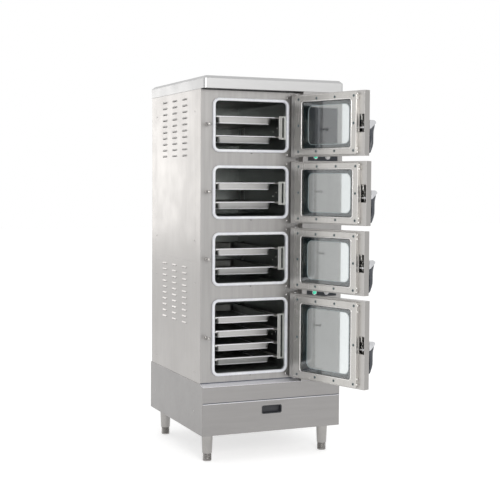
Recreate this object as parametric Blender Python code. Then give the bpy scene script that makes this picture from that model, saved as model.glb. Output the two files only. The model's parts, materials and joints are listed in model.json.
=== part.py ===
"""Steamer cabinet: four chambers with glass doors, a control column, a base with a drawer, and legs.

Lengths are metres, +Z is up and the doors face -Y. The origin is on the floor, under the middle
of the box that the cabinet fills with its doors standing open.
"""
import math
from collections import namedtuple

import bmesh
import bpy
from mathutils import Vector

# General clearances and sheets
GAP = 0.0003
OVERRUN = 0.004
SHEET = 0.0015
LINER_SHEET = 0.0012
DOOR_SHEET = 0.0012
CORNER_STEPS = 3
ROUND_SIDES = 16
SMALL_SIDES = 10

# Overall box
HEIGHT = 1.850
BODY_WIDTH = 0.730
BODY_DEPTH = 0.726

# Lid
LID_HEIGHT = 0.059
LID_BEVEL = 0.013
LID_FRONT = 0.049
LID_SIDE = 0.002
LID_BACK = 0.010
LID_CORNER = 0.010
LID_SEAT = 0.028

# Base, its drawer and the drawer's pull
BASE_FACE_HEIGHT = 0.2355
LEDGE_RISE = 0.010
BASE_FRONT = 0.039
BASE_SIDE = 0.002
BASE_BACK = 0.010
BASE_FLOOR = 0.002
DRAWER_FACE_HEIGHT = 0.154
TRAY_RAISE = 0.0085
TRAY_HEIGHT = 0.059
TRAY_SIDE = 0.033
TRAY_BACK_SPACE = 0.085
RUNNER_WIDTH = 0.045
RUNNER_SHEET = 0.002
PULL_WIDTH = 0.107
PULL_HEIGHT = 0.056
PULL_DEPTH = 0.018
PULL_RIM = 0.004
PULL_PROUD = 0.0014
PULL_CORNER = 0.006
PULL_TOP_DROP = 0.021

# Legs
LEG_HEIGHT = 0.1372
LEG_RADIUS = 0.027
LEG_WAIST_RADIUS = 0.024
LEG_SLEEVE_RADIUS = 0.021
LEG_SLEEVE_HEIGHT = 0.032
LEG_CHAMFER = 0.003
LEG_INSET_X = 0.056
LEG_INSET_Y = 0.080

# Frame and panels
POST_DEPTH = 0.066
POST_RETURN = 0.014
LEDGE_WIDTH = 0.022
RAIL_HEIGHT = 0.032
SIDE_SEAM = 0.9665
LOUVRE_WIDTH = 0.060
LOUVRE_HEIGHT = 0.0090
LOUVRE_PROUD = 0.0045
LOUVRE_LIP = 0.0025
LOUVRE_CHEEK = 0.005
LOUVRE_PITCH = 0.0305
LOUVRE_ROWS = 10
LOUVRE_COLUMNS = 3
LOUVRE_COLUMN_PITCH = 0.1465
LOUVRE_COLUMN_SHIFT = 0.005
LOUVRE_TOP_DROP = 0.0365

# Chambers: mouths, liners and gaskets
MOUTH_LEFT_MARGIN = 0.0663
MOUTH_WIDTH = 0.384
SHORT_MOUTH = 0.242
TALL_MOUTH = 0.356
MOUTH_CORNER = 0.020
LINER_BACK_SPACE = 0.126
LINER_FLANGE = 0.012
STEAM_HOLE_RADIUS = 0.010
GASKET_OVERHANG = 0.012
GASKET_WIDTH = 0.020
GASKET_PROUD = 0.012
GASKET_ROUNDING = 0.003
GASKET_ROOT_DEPTH = 0.010
GASKET_ROOT_WIDTH = 0.006

# Racks and pans
RACK_WALL_SPACE = 0.005
UPRIGHT_WIDTH = 0.017
UPRIGHT_THICKNESS = 0.003
UPRIGHT_FRONT = 0.045
UPRIGHT_BACK_SPACE = 0.080
RACK_BELOW_RIM = 0.0105
RACK_ABOVE_RIM = 0.0095
RAIL_REACH = 0.019
RAIL_SHEET = 0.002
RAIL_WEB = 0.007
RACK_BAR_HEIGHT = 0.008
RACK_BAR_CLEARANCE = 0.002
SPACER_HEIGHT = 0.008
PAN_BACK_SPACE = 0.010
PAN_SIDE_SPACE = 0.059
PAN_DEPTH = 0.0325
PAN_HEM = 0.005
PAN_SHEET = 0.001
PAN_RIM = 0.0145
PAN_TAPER = 0.008
PAN_CORNER = 0.022
PAN_RIM_CORNER = 0.012
PAN_FRONT = 0.060
SHORT_PAN_DROP = 0.0785
TALL_PAN_DROP = 0.0905
SHORT_PAN_PITCH = 0.0935
TALL_PAN_PITCH = 0.068
SHORT_PAN_COUNT = 2
TALL_PAN_COUNT = 4

# Doors, measured from the hinge axis
HINGE_SPACE = 0.0277
DOOR_SPACING = 0.0235
DOOR_TOP_MARGIN = 0.0205
DOOR_BOTTOM_MARGIN = 0.0144
DOOR_OVERLAP = 0.0275
DOOR_SIDE_LAP = 0.077
DOOR_HEEL = 0.018
DOOR_INNER = 0.016
DOOR_OUTER = 0.017
PLUG_START = 0.020
PLUG_SIDE_LAP = 0.041
PLUG_MARGIN = 0.006
PLUG_PROUD = 0.018
PLUG_CORNER = 0.012
PLUG_BEVEL = 0.002
WINDOW_START = 0.072
WINDOW_SIDE_LAP = 0.006
WINDOW_MARGIN_SHORT = 0.033
WINDOW_MARGIN_TALL = 0.037
WINDOW_CORNER = 0.010
WINDOW_COLLAR = 0.0015
GLASS_THICKNESS = 0.004
GLASS_LAP = 0.012
LATCH_SIDE_LAP = 0.064
LATCH_SLOT_WIDTH = 0.031
LATCH_SLOT_SHIFT = 0.0045
LATCH_SLOT_HEIGHT = 0.082
OPEN_DEGREES = (108.0, 110.0, 109.0, 110.0)

# Hinge strip
PIN_RADIUS = 0.004
PIN_LENGTH = 0.012
EAR_HALF_WIDTH = 0.012
EAR_NOSE = 0.009
EAR_THICKNESS = 0.004
STRIP_SPACE = 0.0107
STRIP_SHEET = 0.0017
STRIP_MARGIN = 0.0005
FOOT_REACH = 0.018
FOOT_BELOW = 0.0165
FOOT_ABOVE = 0.008

# Keepers
KEEPER_BAR_WIDTH = 0.026
KEEPER_BAR_THICKNESS = 0.003
KEEPER_BAR_MARGIN = 0.030
STUD_NECK_RADIUS = 0.005
STUD_HEAD_RADIUS = 0.009
STUD_HEAD_LENGTH = 0.006
STUD_REACH = 0.045
STUD_RAISE = 0.002

# Handles, measured from their spindle
SPINDLE_DROP = 0.020
SPINDLE_RADIUS = 0.006
CLAW_LENGTH = 0.026
CLAW_WIDTH = 0.006
CLAW_THICKNESS = 0.003
CLAW_CLEARANCE = 0.001
HEAD_WIDTH = 0.030
HEAD_ABOVE = 0.035
HEAD_BELOW = 0.014
HEAD_DEPTH = 0.045
HEAD_SHOULDER = 0.018
HEAD_CROWN_RAISE = 0.006
HEAD_BEVEL = 0.005
GRIP_LENGTH = 0.116
GRIP_RADIUS = 0.0115
GRIP_OUT = 0.025
GRIP_NECK_DROP = 0.010
GRIP_TOP_RAISE = 0.016
GRIP_TOP_RADIUS = 0.0105
GRIP_TOP_OUT = 0.0335
GRIP_BEND_LENGTH = 0.044
GRIP_TIP_RADIUS = 0.006
GRIP_TIP_OUT = 0.013

# Control column, its board and buttons
COLUMN_SPACE = 0.0647
COLUMN_FRONT = 0.047
COLUMN_SHEET = 0.0015
COLUMN_FLANGE = 0.015
COLUMN_FOOT_RAISE = 0.002
FASCIA_LEFT_MARGIN = 0.027
FASCIA_RIGHT_MARGIN = 0.026
UPPER_FASCIA_HEIGHT = 0.260
LOWER_FASCIA_HEIGHT = 0.060
FASCIA_PROUD = 0.0012
UPPER_FASCIA_DROP = 0.0747
LOWER_FASCIA_RAISE = 0.4067
BOARD_MARGIN = 0.012
BOARD_THICKNESS = 0.002
BUTTON_SHIFT = 0.001
BUTTON_RAISE = 0.021
BUTTON_RADIUS = 0.011
BUTTON_PROUD = 0.005
BUTTON_COLLAR = 0.003
BUTTON_COLLAR_LENGTH = 0.002

# Steam generator
TANK_WIDTH = 0.300
TANK_FRONT_SPACE = 0.017
TANK_HEIGHT = 0.300
TANK_SHEET = 0.002
TANK_RAISE = 0.030
TANK_BACK_GAP = 0.014
RISER_RADIUS = 0.016
RISER_WALL = 0.0015
STUB_RADIUS = 0.010
STUB_REACH = 0.008
STUB_RAISE = 0.040
STUB_SPACING = 0.090

# Places and sizes that follow
HALF_WIDTH = BODY_WIDTH / 2
BODY_TOP = HEIGHT - LID_HEIGHT - GAP
BASE_BOTTOM = LEG_HEIGHT + GAP
BASE_EDGE = BASE_BOTTOM + BASE_FACE_HEIGHT
BASE_TOP = BASE_EDGE + LEDGE_RISE
BODY_BOTTOM = BASE_TOP + GAP
DRAWER_BOTTOM = BASE_BOTTOM + GAP
DRAWER_TOP = DRAWER_BOTTOM + DRAWER_FACE_HEIGHT
TRAY_BOTTOM = BASE_BOTTOM + TRAY_RAISE
CHAMBER_X = MOUTH_LEFT_MARGIN + MOUTH_WIDTH / 2 - HALF_WIDTH
MOUTH_RIGHT = CHAMBER_X + MOUTH_WIDTH / 2
HINGE_X = MOUTH_RIGHT + HINGE_SPACE
STRIP_START = MOUTH_RIGHT + STRIP_SPACE
COLUMN_START = MOUTH_RIGHT + COLUMN_SPACE
STRIP_END = COLUMN_START - STRIP_MARGIN
FASCIA_START = COLUMN_START + FASCIA_LEFT_MARGIN
FASCIA_WIDTH = HALF_WIDTH - FASCIA_RIGHT_MARGIN - FASCIA_START
BUTTON_X = FASCIA_START + FASCIA_WIDTH * 2 / 3 - BUTTON_SHIFT
DOOR_REACH = MOUTH_WIDTH + DOOR_SIDE_LAP
PLUG_END = MOUTH_WIDTH + PLUG_SIDE_LAP
WINDOW_END = MOUTH_WIDTH + WINDOW_SIDE_LAP
LATCH_REACH = MOUTH_WIDTH + LATCH_SIDE_LAP
KEEPER_X = HINGE_X - LATCH_REACH
TRAY_LENGTH = BASE_FRONT + BODY_DEPTH - TRAY_BACK_SPACE
COLUMN_FOOT = BASE_EDGE + COLUMN_FOOT_RAISE
UPPER_FASCIA_TOP = BODY_TOP - UPPER_FASCIA_DROP
UPPER_FASCIA_BOTTOM = UPPER_FASCIA_TOP - UPPER_FASCIA_HEIGHT
LOWER_FASCIA_BOTTOM = BODY_BOTTOM + LOWER_FASCIA_RAISE
LOWER_FASCIA_TOP = LOWER_FASCIA_BOTTOM + LOWER_FASCIA_HEIGHT
FASCIAS = ((UPPER_FASCIA_BOTTOM, UPPER_FASCIA_TOP), (LOWER_FASCIA_BOTTOM, LOWER_FASCIA_TOP))
LINER_DEPTH = BODY_DEPTH - LINER_BACK_SPACE
TANK_DEPTH = LINER_BACK_SPACE - TANK_BACK_GAP - TANK_FRONT_SPACE
PAN_LENGTH = LINER_DEPTH - PAN_FRONT - PAN_BACK_SPACE
UPRIGHT_BACK = LINER_DEPTH - UPRIGHT_BACK_SPACE
RACK_HALF_WIDTH = MOUTH_WIDTH / 2 - RACK_WALL_SPACE
PAN_WIDTH = MOUTH_WIDTH - PAN_SIDE_SPACE
HINGE_Y = -(GASKET_PROUD + PLUG_PROUD + DOOR_INNER + 3 * GAP)
GASKET_FACE = -(GASKET_PROUD + GAP)
STRIP_FACE = -(STRIP_SHEET + GAP)
WIDEST_OPEN = math.radians(min(OPEN_DEGREES))
FRONT_REACH = (DOOR_REACH * math.sin(WIDEST_OPEN) - DOOR_INNER * math.cos(WIDEST_OPEN)) - HINGE_Y
ORIGIN_Y = (BODY_DEPTH + LID_BACK - FRONT_REACH) / 2

# The four mouths share what the door edges leave of the height between base and lid
DOOR_EDGES = DOOR_TOP_MARGIN + DOOR_BOTTOM_MARGIN + 3 * DOOR_SPACING + 8 * DOOR_OVERLAP
MOUTH_SHARE = (BODY_TOP - BODY_BOTTOM - DOOR_EDGES) / (3 * SHORT_MOUTH + TALL_MOUTH)
MOUTH_SHORT = SHORT_MOUTH * MOUTH_SHARE
MOUTH_TALL = TALL_MOUTH * MOUTH_SHARE
PAN_DROP_SHORT = SHORT_PAN_DROP * MOUTH_SHARE
PAN_DROP_TALL = TALL_PAN_DROP * MOUTH_SHARE
PAN_PITCH_SHORT = SHORT_PAN_PITCH * MOUTH_SHARE
PAN_PITCH_TALL = TALL_PAN_PITCH * MOUTH_SHARE

Rect = namedtuple("Rect", "left right bottom top")
Chamber = namedtuple("Chamber", "number mouth centre pans pan_drop pan_pitch window_margin")


# Materials

def material(name, colour, metallic, roughness, alpha=1.0):
    """Return a plain surface with a name, a colour and a roughness."""
    surface = bpy.data.materials.new(name)
    surface.use_nodes = True
    shader = surface.node_tree.nodes["Principled BSDF"]
    shader.inputs["Base Color"].default_value = (*colour, 1.0)
    shader.inputs["Metallic"].default_value = metallic
    shader.inputs["Roughness"].default_value = roughness
    shader.inputs["Alpha"].default_value = alpha
    surface.diffuse_color = (*colour, alpha)
    return surface


# Shapes

def upright(u, v, w):
    """Place an outline on a wall: u to the right, v up, w to the back."""
    return Vector((u, w, v))


def level(u, v, w):
    """Place an outline on a floor: u to the right, v to the back, w up."""
    return Vector((u, v, w))


def sideways(u, v, w):
    """Place an outline on a side: u to the back, v up, w to the right."""
    return Vector((w, u, v))


def grown(rect, amount):
    """Return the rectangle with each side moved out by an amount."""
    return Rect(rect.left - amount, rect.right + amount, rect.bottom - amount, rect.top + amount)


def rounded_outline(rect, radius, steps=CORNER_STEPS):
    """Return the points of a rectangle with round corners."""
    points = []
    corners = (
        (rect.right - radius, rect.top - radius, 0.0),
        (rect.left + radius, rect.top - radius, 0.5),
        (rect.left + radius, rect.bottom + radius, 1.0),
        (rect.right - radius, rect.bottom + radius, 1.5),
    )
    for centre_u, centre_v, start_share in corners:
        for step in range(steps + 1):
            angle = math.pi * (start_share + step / steps / 2)
            points.append((centre_u + radius * math.cos(angle), centre_v + radius * math.sin(angle)))
    return points


def circle_outline(centre_u, centre_v, radius, sides=ROUND_SIDES):
    """Return the points of a circle."""
    turns = [2 * math.pi * side / sides for side in range(sides)]
    return [(centre_u + radius * math.cos(turn), centre_v + radius * math.sin(turn)) for turn in turns]


def finished(shape, name):
    """Turn a bmesh into a mesh whose faces point outwards."""
    bmesh.ops.recalc_face_normals(shape, faces=shape.faces)
    mesh = bpy.data.meshes.new(name)
    shape.to_mesh(mesh)
    shape.free()
    return mesh


def lofted(name, sections, place, closed=False):
    """Skin a row of outlines, each given as (points, depth). A closed row runs back to its start."""
    shape = bmesh.new()
    rings = [[shape.verts.new(place(u, v, depth)) for u, v in points] for points, depth in sections]
    pairs = list(zip(rings, rings[1:]))
    if closed:
        pairs.append((rings[-1], rings[0]))
    for first, second in pairs:
        for index in range(len(first)):
            after = (index + 1) % len(first)
            shape.faces.new((first[index], first[after], second[after], second[index]))
    if not closed:
        shape.faces.new(rings[0])
        shape.faces.new(rings[-1])
    return finished(shape, name)


def block(left, right, front, back, bottom, top):
    """Return a box between six planes."""
    outline = [(left, bottom), (right, bottom), (right, top), (left, top)]
    return lofted("block", [(outline, front), (outline, back)], upright)


def rod(centre_u, centre_v, radius, start, end, place, sides=ROUND_SIDES):
    """Return a round bar."""
    outline = circle_outline(centre_u, centre_v, radius, sides)
    return lofted("rod", [(outline, start), (outline, end)], place)


def turned(name, profile, centre_u, centre_v, place, sides=ROUND_SIDES):
    """Turn a profile, given as (radius, distance along the axis), round an axis."""
    sections = [(circle_outline(centre_u, centre_v, radius, sides), along) for radius, along in profile]
    return lofted(name, sections, place)


def carved(mesh, tool, operation):
    """Join a shape to another, or cut it away, and return the result."""
    body = bpy.data.objects.new("body", mesh)
    other = bpy.data.objects.new("tool", tool)
    for item in (body, other):
        bpy.context.scene.collection.objects.link(item)
    step = body.modifiers.new("step", "BOOLEAN")
    step.operation = operation
    step.solver = "EXACT"
    step.object = other
    graph = bpy.context.evaluated_depsgraph_get()
    graph.update()
    result = bpy.data.meshes.new_from_object(body.evaluated_get(graph))
    for item in (body, other):
        bpy.data.objects.remove(item, do_unlink=True)
    return result


def joined(meshes):
    """Unite shapes that overlap each other, in the order given."""
    result = meshes[0]
    for mesh in meshes[1:]:
        result = carved(result, mesh, "UNION")
    return result


def cut(mesh, tools):
    """Cut each tool's shape out of a mesh."""
    for tool in tools:
        mesh = carved(mesh, tool, "DIFFERENCE")
    return mesh


def guide(name, location, parent=None, turn=0.0):
    """Return an empty that carries other pieces."""
    empty = bpy.data.objects.new(name, None)
    empty.location = location
    empty.rotation_euler = (0.0, 0.0, turn)
    empty.parent = parent
    bpy.context.scene.collection.objects.link(empty)
    return empty


def piece(name, mesh, surface, parent, location=(0.0, 0.0, 0.0), smooth_degrees=35.0):
    """Place a named sub-part."""
    if not mesh.materials:
        mesh.materials.append(surface)
    mesh.shade_smooth()
    mesh.set_sharp_from_angle(angle=math.radians(smooth_degrees))
    item = bpy.data.objects.new(name, mesh)
    item.location = location
    item.parent = parent
    bpy.context.scene.collection.objects.link(item)
    return item


# Chamber places

def chamber_rows():
    """Stack the four chambers down from the top of the body."""
    rows = []
    top = BODY_TOP - DOOR_TOP_MARGIN
    kinds = [(MOUTH_SHORT, SHORT_PAN_COUNT, PAN_DROP_SHORT, PAN_PITCH_SHORT, WINDOW_MARGIN_SHORT)] * 3
    kinds.append((MOUTH_TALL, TALL_PAN_COUNT, PAN_DROP_TALL, PAN_PITCH_TALL, WINDOW_MARGIN_TALL))
    for number, (mouth, pans, drop, pitch, margin) in enumerate(kinds, start=1):
        height = mouth + 2 * DOOR_OVERLAP
        rows.append(Chamber(number, mouth, top - height / 2, pans, drop, pitch, margin))
        top -= height + DOOR_SPACING
    return rows


def mouth_rect(mouth, centre_x=CHAMBER_X, centre_z=0.0):
    """Return the rectangle of a chamber's mouth."""
    half = MOUTH_WIDTH / 2
    return Rect(centre_x - half, centre_x + half, centre_z - mouth / 2, centre_z + mouth / 2)


# Casing

def top_cover():
    """Lid: a folded pan, upside down, whose lips turn in under its edge."""
    outer = Rect(-HALF_WIDTH - LID_SIDE, HALF_WIDTH + LID_SIDE, -LID_FRONT, BODY_DEPTH + LID_BACK)
    mouth = Rect(-HALF_WIDTH + LID_SEAT, HALF_WIDTH - LID_SEAT, LID_SEAT, BODY_DEPTH - LID_SEAT)
    bottom = HEIGHT - LID_HEIGHT
    shoulder = HEIGHT - LID_BEVEL
    inside_radius = LID_CORNER - SHEET
    inside = grown(outer, -SHEET)
    sections = [
        (rounded_outline(grown(inside, -LID_BEVEL), inside_radius), HEIGHT - SHEET),
        (rounded_outline(inside, inside_radius), shoulder - SHEET),
        (rounded_outline(inside, inside_radius), bottom + SHEET),
        (rounded_outline(mouth, LID_CORNER), bottom + SHEET),
        (rounded_outline(mouth, LID_CORNER), bottom),
        (rounded_outline(outer, LID_CORNER), bottom),
        (rounded_outline(outer, LID_CORNER), shoulder),
        (rounded_outline(grown(outer, -LID_BEVEL), LID_CORNER), HEIGHT),
    ]
    return lofted("top_cover", sections, level)


def cabinet_frame():
    """Corner posts with panel ledges, tied by rings at the top, the seam and the bottom."""
    ledge_out = HALF_WIDTH - SHEET - GAP
    ledge_in = ledge_out - SHEET
    front = SHEET + GAP
    back = BODY_DEPTH - SHEET - GAP
    rear_post = BODY_DEPTH - POST_DEPTH
    shapes = []
    for side in (-1, 1):
        def wall(outside, inside, start, end, bottom, top):
            left, right = sorted((side * outside, side * inside))
            shapes.append(block(left, right, start, end, bottom, top))

        strip_in = ledge_out - SHEET / 2
        wall(HALF_WIDTH, strip_in, front, POST_DEPTH - GAP, BODY_BOTTOM, BODY_TOP)
        wall(HALF_WIDTH, strip_in, rear_post + GAP, back, BODY_BOTTOM, BODY_TOP)
        wall(ledge_out, ledge_in, front, POST_DEPTH + LEDGE_WIDTH, BODY_BOTTOM, BODY_TOP)
        wall(ledge_out, ledge_in, rear_post - LEDGE_WIDTH, back, BODY_BOTTOM, BODY_TOP)
        wall(HALF_WIDTH, HALF_WIDTH - POST_RETURN, front, front + SHEET, BODY_BOTTOM, BODY_TOP)
        wall(HALF_WIDTH, HALF_WIDTH - POST_RETURN, back - SHEET, back, BODY_BOTTOM, BODY_TOP)
        rails = (BODY_BOTTOM, SIDE_SEAM - RAIL_HEIGHT / 2, BODY_TOP - RAIL_HEIGHT)
        for bottom in rails:
            wall(ledge_out, ledge_in, POST_DEPTH, rear_post, bottom, bottom + RAIL_HEIGHT)
    for bottom in (BODY_BOTTOM, BODY_TOP - RAIL_HEIGHT / 2):
        for start in (front, back - SHEET):
            span = HALF_WIDTH - SHEET
            shapes.append(block(-span, span, start, start + SHEET, bottom, bottom + RAIL_HEIGHT / 2))
    return joined(shapes)


def front_panel(chambers):
    """Front sheet with the chamber mouths and the keeper holes."""
    sheet = block(-HALF_WIDTH, HALF_WIDTH, 0.0, SHEET, BODY_BOTTOM, BODY_TOP)
    tools = []
    for chamber in chambers:
        mouth = rounded_outline(mouth_rect(chamber.mouth, centre_z=chamber.centre), MOUTH_CORNER)
        tools.append(lofted("mouth", [(mouth, -OVERRUN), (mouth, SHEET + OVERRUN)], upright))
        hole = STUD_NECK_RADIUS + GAP
        height = chamber.centre + STUD_RAISE
        tools.append(rod(KEEPER_X, height, hole, -OVERRUN, SHEET + OVERRUN, upright, SMALL_SIDES))
    return cut(sheet, tools)


def louvre_cells(width, height):
    """Return the left edge and the bottom edge of each louvre, on a panel centred on zero."""
    columns = [index - (LOUVRE_COLUMNS - 1) / 2 for index in range(LOUVRE_COLUMNS)]
    cells = []
    for row in range(LOUVRE_ROWS):
        middle = height / 2 - LOUVRE_TOP_DROP - row * LOUVRE_PITCH
        for column in columns:
            left = column * LOUVRE_COLUMN_PITCH + LOUVRE_COLUMN_SHIFT - LOUVRE_WIDTH / 2
            cells.append((left, middle - LOUVRE_HEIGHT / 2))
    return cells


def louvred_panel(bottom, top, side):
    """Side sheet whose louvres are pressed outwards and open downwards."""
    width = BODY_DEPTH - 2 * (POST_DEPTH + GAP)
    height = top - bottom
    centre_y = BODY_DEPTH / 2
    centre_z = (bottom + top) / 2
    shape = bmesh.new()

    def corner(u, v, out, depth):
        return shape.verts.new((side * (HALF_WIDTH + out - depth), centre_y + u, centre_z + v))

    faces = []
    for depth in (0.0, SHEET):
        rim = [
            corner(u, v, 0.0, depth)
            for u, v in (
                (-width / 2, -height / 2),
                (width / 2, -height / 2),
                (width / 2, height / 2),
                (-width / 2, height / 2),
            )
        ]
        edges = [shape.edges.new((rim[i - 1], rim[i])) for i in range(4)]
        hoods = []
        for left, low in louvre_cells(width, height):
            right = left + LOUVRE_WIDTH
            high = low + LOUVRE_HEIGHT
            outline = ((left, low), (right, low), (right, high), (left, high))
            hole = [corner(u, v, 0.0, depth) for u, v in outline]
            edges += [shape.edges.new((hole[i - 1], hole[i])) for i in range(4)]
            lip = [
                corner(right - LOUVRE_CHEEK, low + LOUVRE_LIP, LOUVRE_PROUD, depth),
                corner(left + LOUVRE_CHEEK, low + LOUVRE_LIP, LOUVRE_PROUD, depth),
            ]
            hoods.append((hole, lip))
        bmesh.ops.triangle_fill(shape, use_beauty=True, edges=edges, normal=(side, 0.0, 0.0))
        for hole, lip in hoods:
            shape.faces.new((hole[3], hole[2], lip[0], lip[1]))
            shape.faces.new((hole[2], hole[1], lip[0]))
            shape.faces.new((hole[0], hole[3], lip[1]))
        faces.append((rim, hoods))
    (outer_rim, outer_hoods), (inner_rim, inner_hoods) = faces
    for i in range(4):
        shape.faces.new((outer_rim[i - 1], outer_rim[i], inner_rim[i], inner_rim[i - 1]))
    for (hole, lip), (inner_hole, inner_lip) in zip(outer_hoods, inner_hoods):
        slot = [hole[0], hole[1], lip[0], lip[1]]
        inner_slot = [inner_hole[0], inner_hole[1], inner_lip[0], inner_lip[1]]
        for i in range(4):
            shape.faces.new((slot[i - 1], slot[i], inner_slot[i], inner_slot[i - 1]))
    return finished(shape, "louvred_panel")


def back_panel():
    """Back sheet with holes for the water inlet and the drain."""
    side = HALF_WIDTH - SHEET / 2
    front = BODY_DEPTH - SHEET
    sheet = block(-side, side, front, BODY_DEPTH, BODY_BOTTOM, BODY_TOP)
    hole = STUB_RADIUS + GAP
    end = BODY_DEPTH + OVERRUN
    tools = [rod(x, z, hole, front - OVERRUN, end, upright, SMALL_SIDES) for x, z in stub_places()]
    return cut(sheet, tools)


def control_cover():
    """Folded channel in front of the front panel, with two cut-outs for the fascias."""
    left, right = COLUMN_START, HALF_WIDTH
    front, back = -COLUMN_FRONT, -GAP
    inner_back = back - COLUMN_SHEET
    inner_front = front + COLUMN_SHEET
    outline = [
        (left, back),
        (left, front),
        (right, front),
        (right, back),
        (right - COLUMN_FLANGE, back),
        (right - COLUMN_FLANGE, inner_back),
        (right - COLUMN_SHEET, inner_back),
        (right - COLUMN_SHEET, inner_front),
        (left + COLUMN_SHEET, inner_front),
        (left + COLUMN_SHEET, inner_back),
        (left + COLUMN_FLANGE, inner_back),
        (left + COLUMN_FLANGE, back),
    ]
    channel = lofted("control_cover", [(outline, COLUMN_FOOT), (outline, BODY_TOP)], level)
    tools = [block(left - OVERRUN, right + OVERRUN, inner_front + GAP, OVERRUN, BASE_BOTTOM, BODY_BOTTOM)]
    for bottom, top in FASCIAS:
        end = FASCIA_START + FASCIA_WIDTH
        tools.append(block(FASCIA_START, end, front - OVERRUN, inner_front + OVERRUN, bottom, top))
    return cut(channel, tools)


# Base

def base_outline(inset, floor):
    """Return the side view of the base, with its walls moved in by an inset and its floor raised."""
    front = -BASE_FRONT + inset
    back = BODY_DEPTH + BASE_BACK - inset
    return [
        (front, BASE_BOTTOM + floor),
        (back, BASE_BOTTOM + floor),
        (back, BASE_TOP - inset),
        (0.0, BASE_TOP - inset),
        (front, BASE_EDGE - inset),
    ]


def base_skirt():
    """Box under the chambers, open in front for the drawer, with two runners inside."""
    half = HALF_WIDTH + BASE_SIDE
    inner = half - SHEET
    outside = base_outline(0.0, 0.0)
    inside = base_outline(SHEET, BASE_FLOOR)
    shell = lofted("base_skirt", [(outside, -half), (outside, half)], sideways)
    hollow = lofted("hollow", [(inside, -inner), (inside, inner)], sideways)
    face = -BASE_FRONT + SHEET + GAP
    mouth = block(
        -half - OVERRUN, half + OVERRUN, -BASE_FRONT - OVERRUN, face, BASE_BOTTOM - OVERRUN, DRAWER_TOP + GAP
    )
    shell = cut(shell, [hollow, mouth])
    top = TRAY_BOTTOM - GAP
    for side in (-1, 1):
        left, right = sorted((side * (half - SHEET / 2), side * (half - RUNNER_WIDTH)))
        runner = block(left, right, face, face + TRAY_LENGTH, top - RUNNER_SHEET, top)
        shell = carved(shell, runner, "UNION")
    return shell


def pull_rect():
    """Return the rectangle of the drawer pull's mouth."""
    top = DRAWER_TOP - PULL_TOP_DROP
    return Rect(-PULL_WIDTH / 2, PULL_WIDTH / 2, top - PULL_HEIGHT, top)


def base_drawer():
    """Drawer front with a shallow drip tray behind it."""
    face = -BASE_FRONT
    half = HALF_WIDTH + BASE_SIDE - GAP
    front = block(-half, half, face, face + SHEET, DRAWER_BOTTOM, DRAWER_TOP)
    hole = rounded_outline(grown(pull_rect(), GAP), PULL_CORNER)
    cutter = lofted("hole", [(hole, face - OVERRUN), (hole, face + OVERRUN)], upright)
    side = half - TRAY_SIDE
    start = face + SHEET / 2
    end = face + TRAY_LENGTH
    tray = block(-side, side, start, end, TRAY_BOTTOM, TRAY_BOTTOM + TRAY_HEIGHT)
    inner = side - SHEET
    top = TRAY_BOTTOM + TRAY_HEIGHT + OVERRUN
    hollow = block(-inner, inner, face + SHEET, end - SHEET, TRAY_BOTTOM + SHEET, top)
    return joined([cut(front, [cutter]), cut(tray, [hollow])])


def flush_pull():
    """Moulded cup with a thin rim, set into the drawer front."""
    cup = pull_rect()
    inside = grown(cup, -SHEET)
    rim = grown(cup, PULL_RIM)
    face = -BASE_FRONT - GAP
    bottom = face + PULL_DEPTH
    inner_corner = PULL_CORNER - SHEET
    sections = [
        (rounded_outline(inside, inner_corner), bottom - SHEET),
        (rounded_outline(inside, inner_corner), face - PULL_PROUD),
        (rounded_outline(rim, PULL_CORNER + PULL_RIM), face - PULL_PROUD),
        (rounded_outline(rim, PULL_CORNER + PULL_RIM), face),
        (rounded_outline(cup, PULL_CORNER), face),
        (rounded_outline(cup, PULL_CORNER), bottom),
    ]
    return lofted("flush_pull", sections, upright)


def leg():
    """Bullet leg with its levelling sleeve, standing on its own origin."""
    waist = LEG_SLEEVE_HEIGHT + LEG_CHAMFER
    profile = [
        (LEG_SLEEVE_RADIUS - LEG_CHAMFER, 0.0),
        (LEG_SLEEVE_RADIUS, LEG_CHAMFER),
        (LEG_SLEEVE_RADIUS, LEG_SLEEVE_HEIGHT),
        (LEG_WAIST_RADIUS, waist),
        (LEG_RADIUS, LEG_HEIGHT - LEG_CHAMFER),
        (LEG_RADIUS, LEG_HEIGHT),
    ]
    return turned("leg", profile, 0.0, 0.0, level)


def leg_places():
    """Return the name and the place of each leg."""
    across = HALF_WIDTH + BASE_SIDE - LEG_INSET_X
    front = -BASE_FRONT + LEG_INSET_Y
    back = BODY_DEPTH + BASE_BACK - LEG_INSET_Y
    return {
        "leg_front_left": (-across, front, 0.0),
        "leg_front_right": (across, front, 0.0),
        "leg_back_left": (-across, back, 0.0),
        "leg_back_right": (across, back, 0.0),
    }


# Chambers

def chamber_liner(mouth):
    """Deep box, open in front, with a flange behind the front panel and a steam hole."""
    inside = mouth_rect(mouth, 0.0)
    tube = grown(inside, LINER_SHEET)
    flange = grown(inside, LINER_FLANGE)
    front = SHEET + GAP
    back = front + LINER_DEPTH
    tube_corner = MOUTH_CORNER + LINER_SHEET
    flange_corner = MOUTH_CORNER + LINER_FLANGE
    sections = [
        (rounded_outline(inside, MOUTH_CORNER), back - LINER_SHEET),
        (rounded_outline(inside, MOUTH_CORNER), front),
        (rounded_outline(flange, flange_corner), front),
        (rounded_outline(flange, flange_corner), front + LINER_SHEET),
        (rounded_outline(tube, tube_corner), front + LINER_SHEET),
        (rounded_outline(tube, tube_corner), back),
    ]
    liner = lofted("chamber_liner", sections, upright)
    hole = rod(0.0, 0.0, STEAM_HOLE_RADIUS, back - OVERRUN, back + OVERRUN, upright, SMALL_SIDES)
    return cut(liner, [hole])


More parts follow.
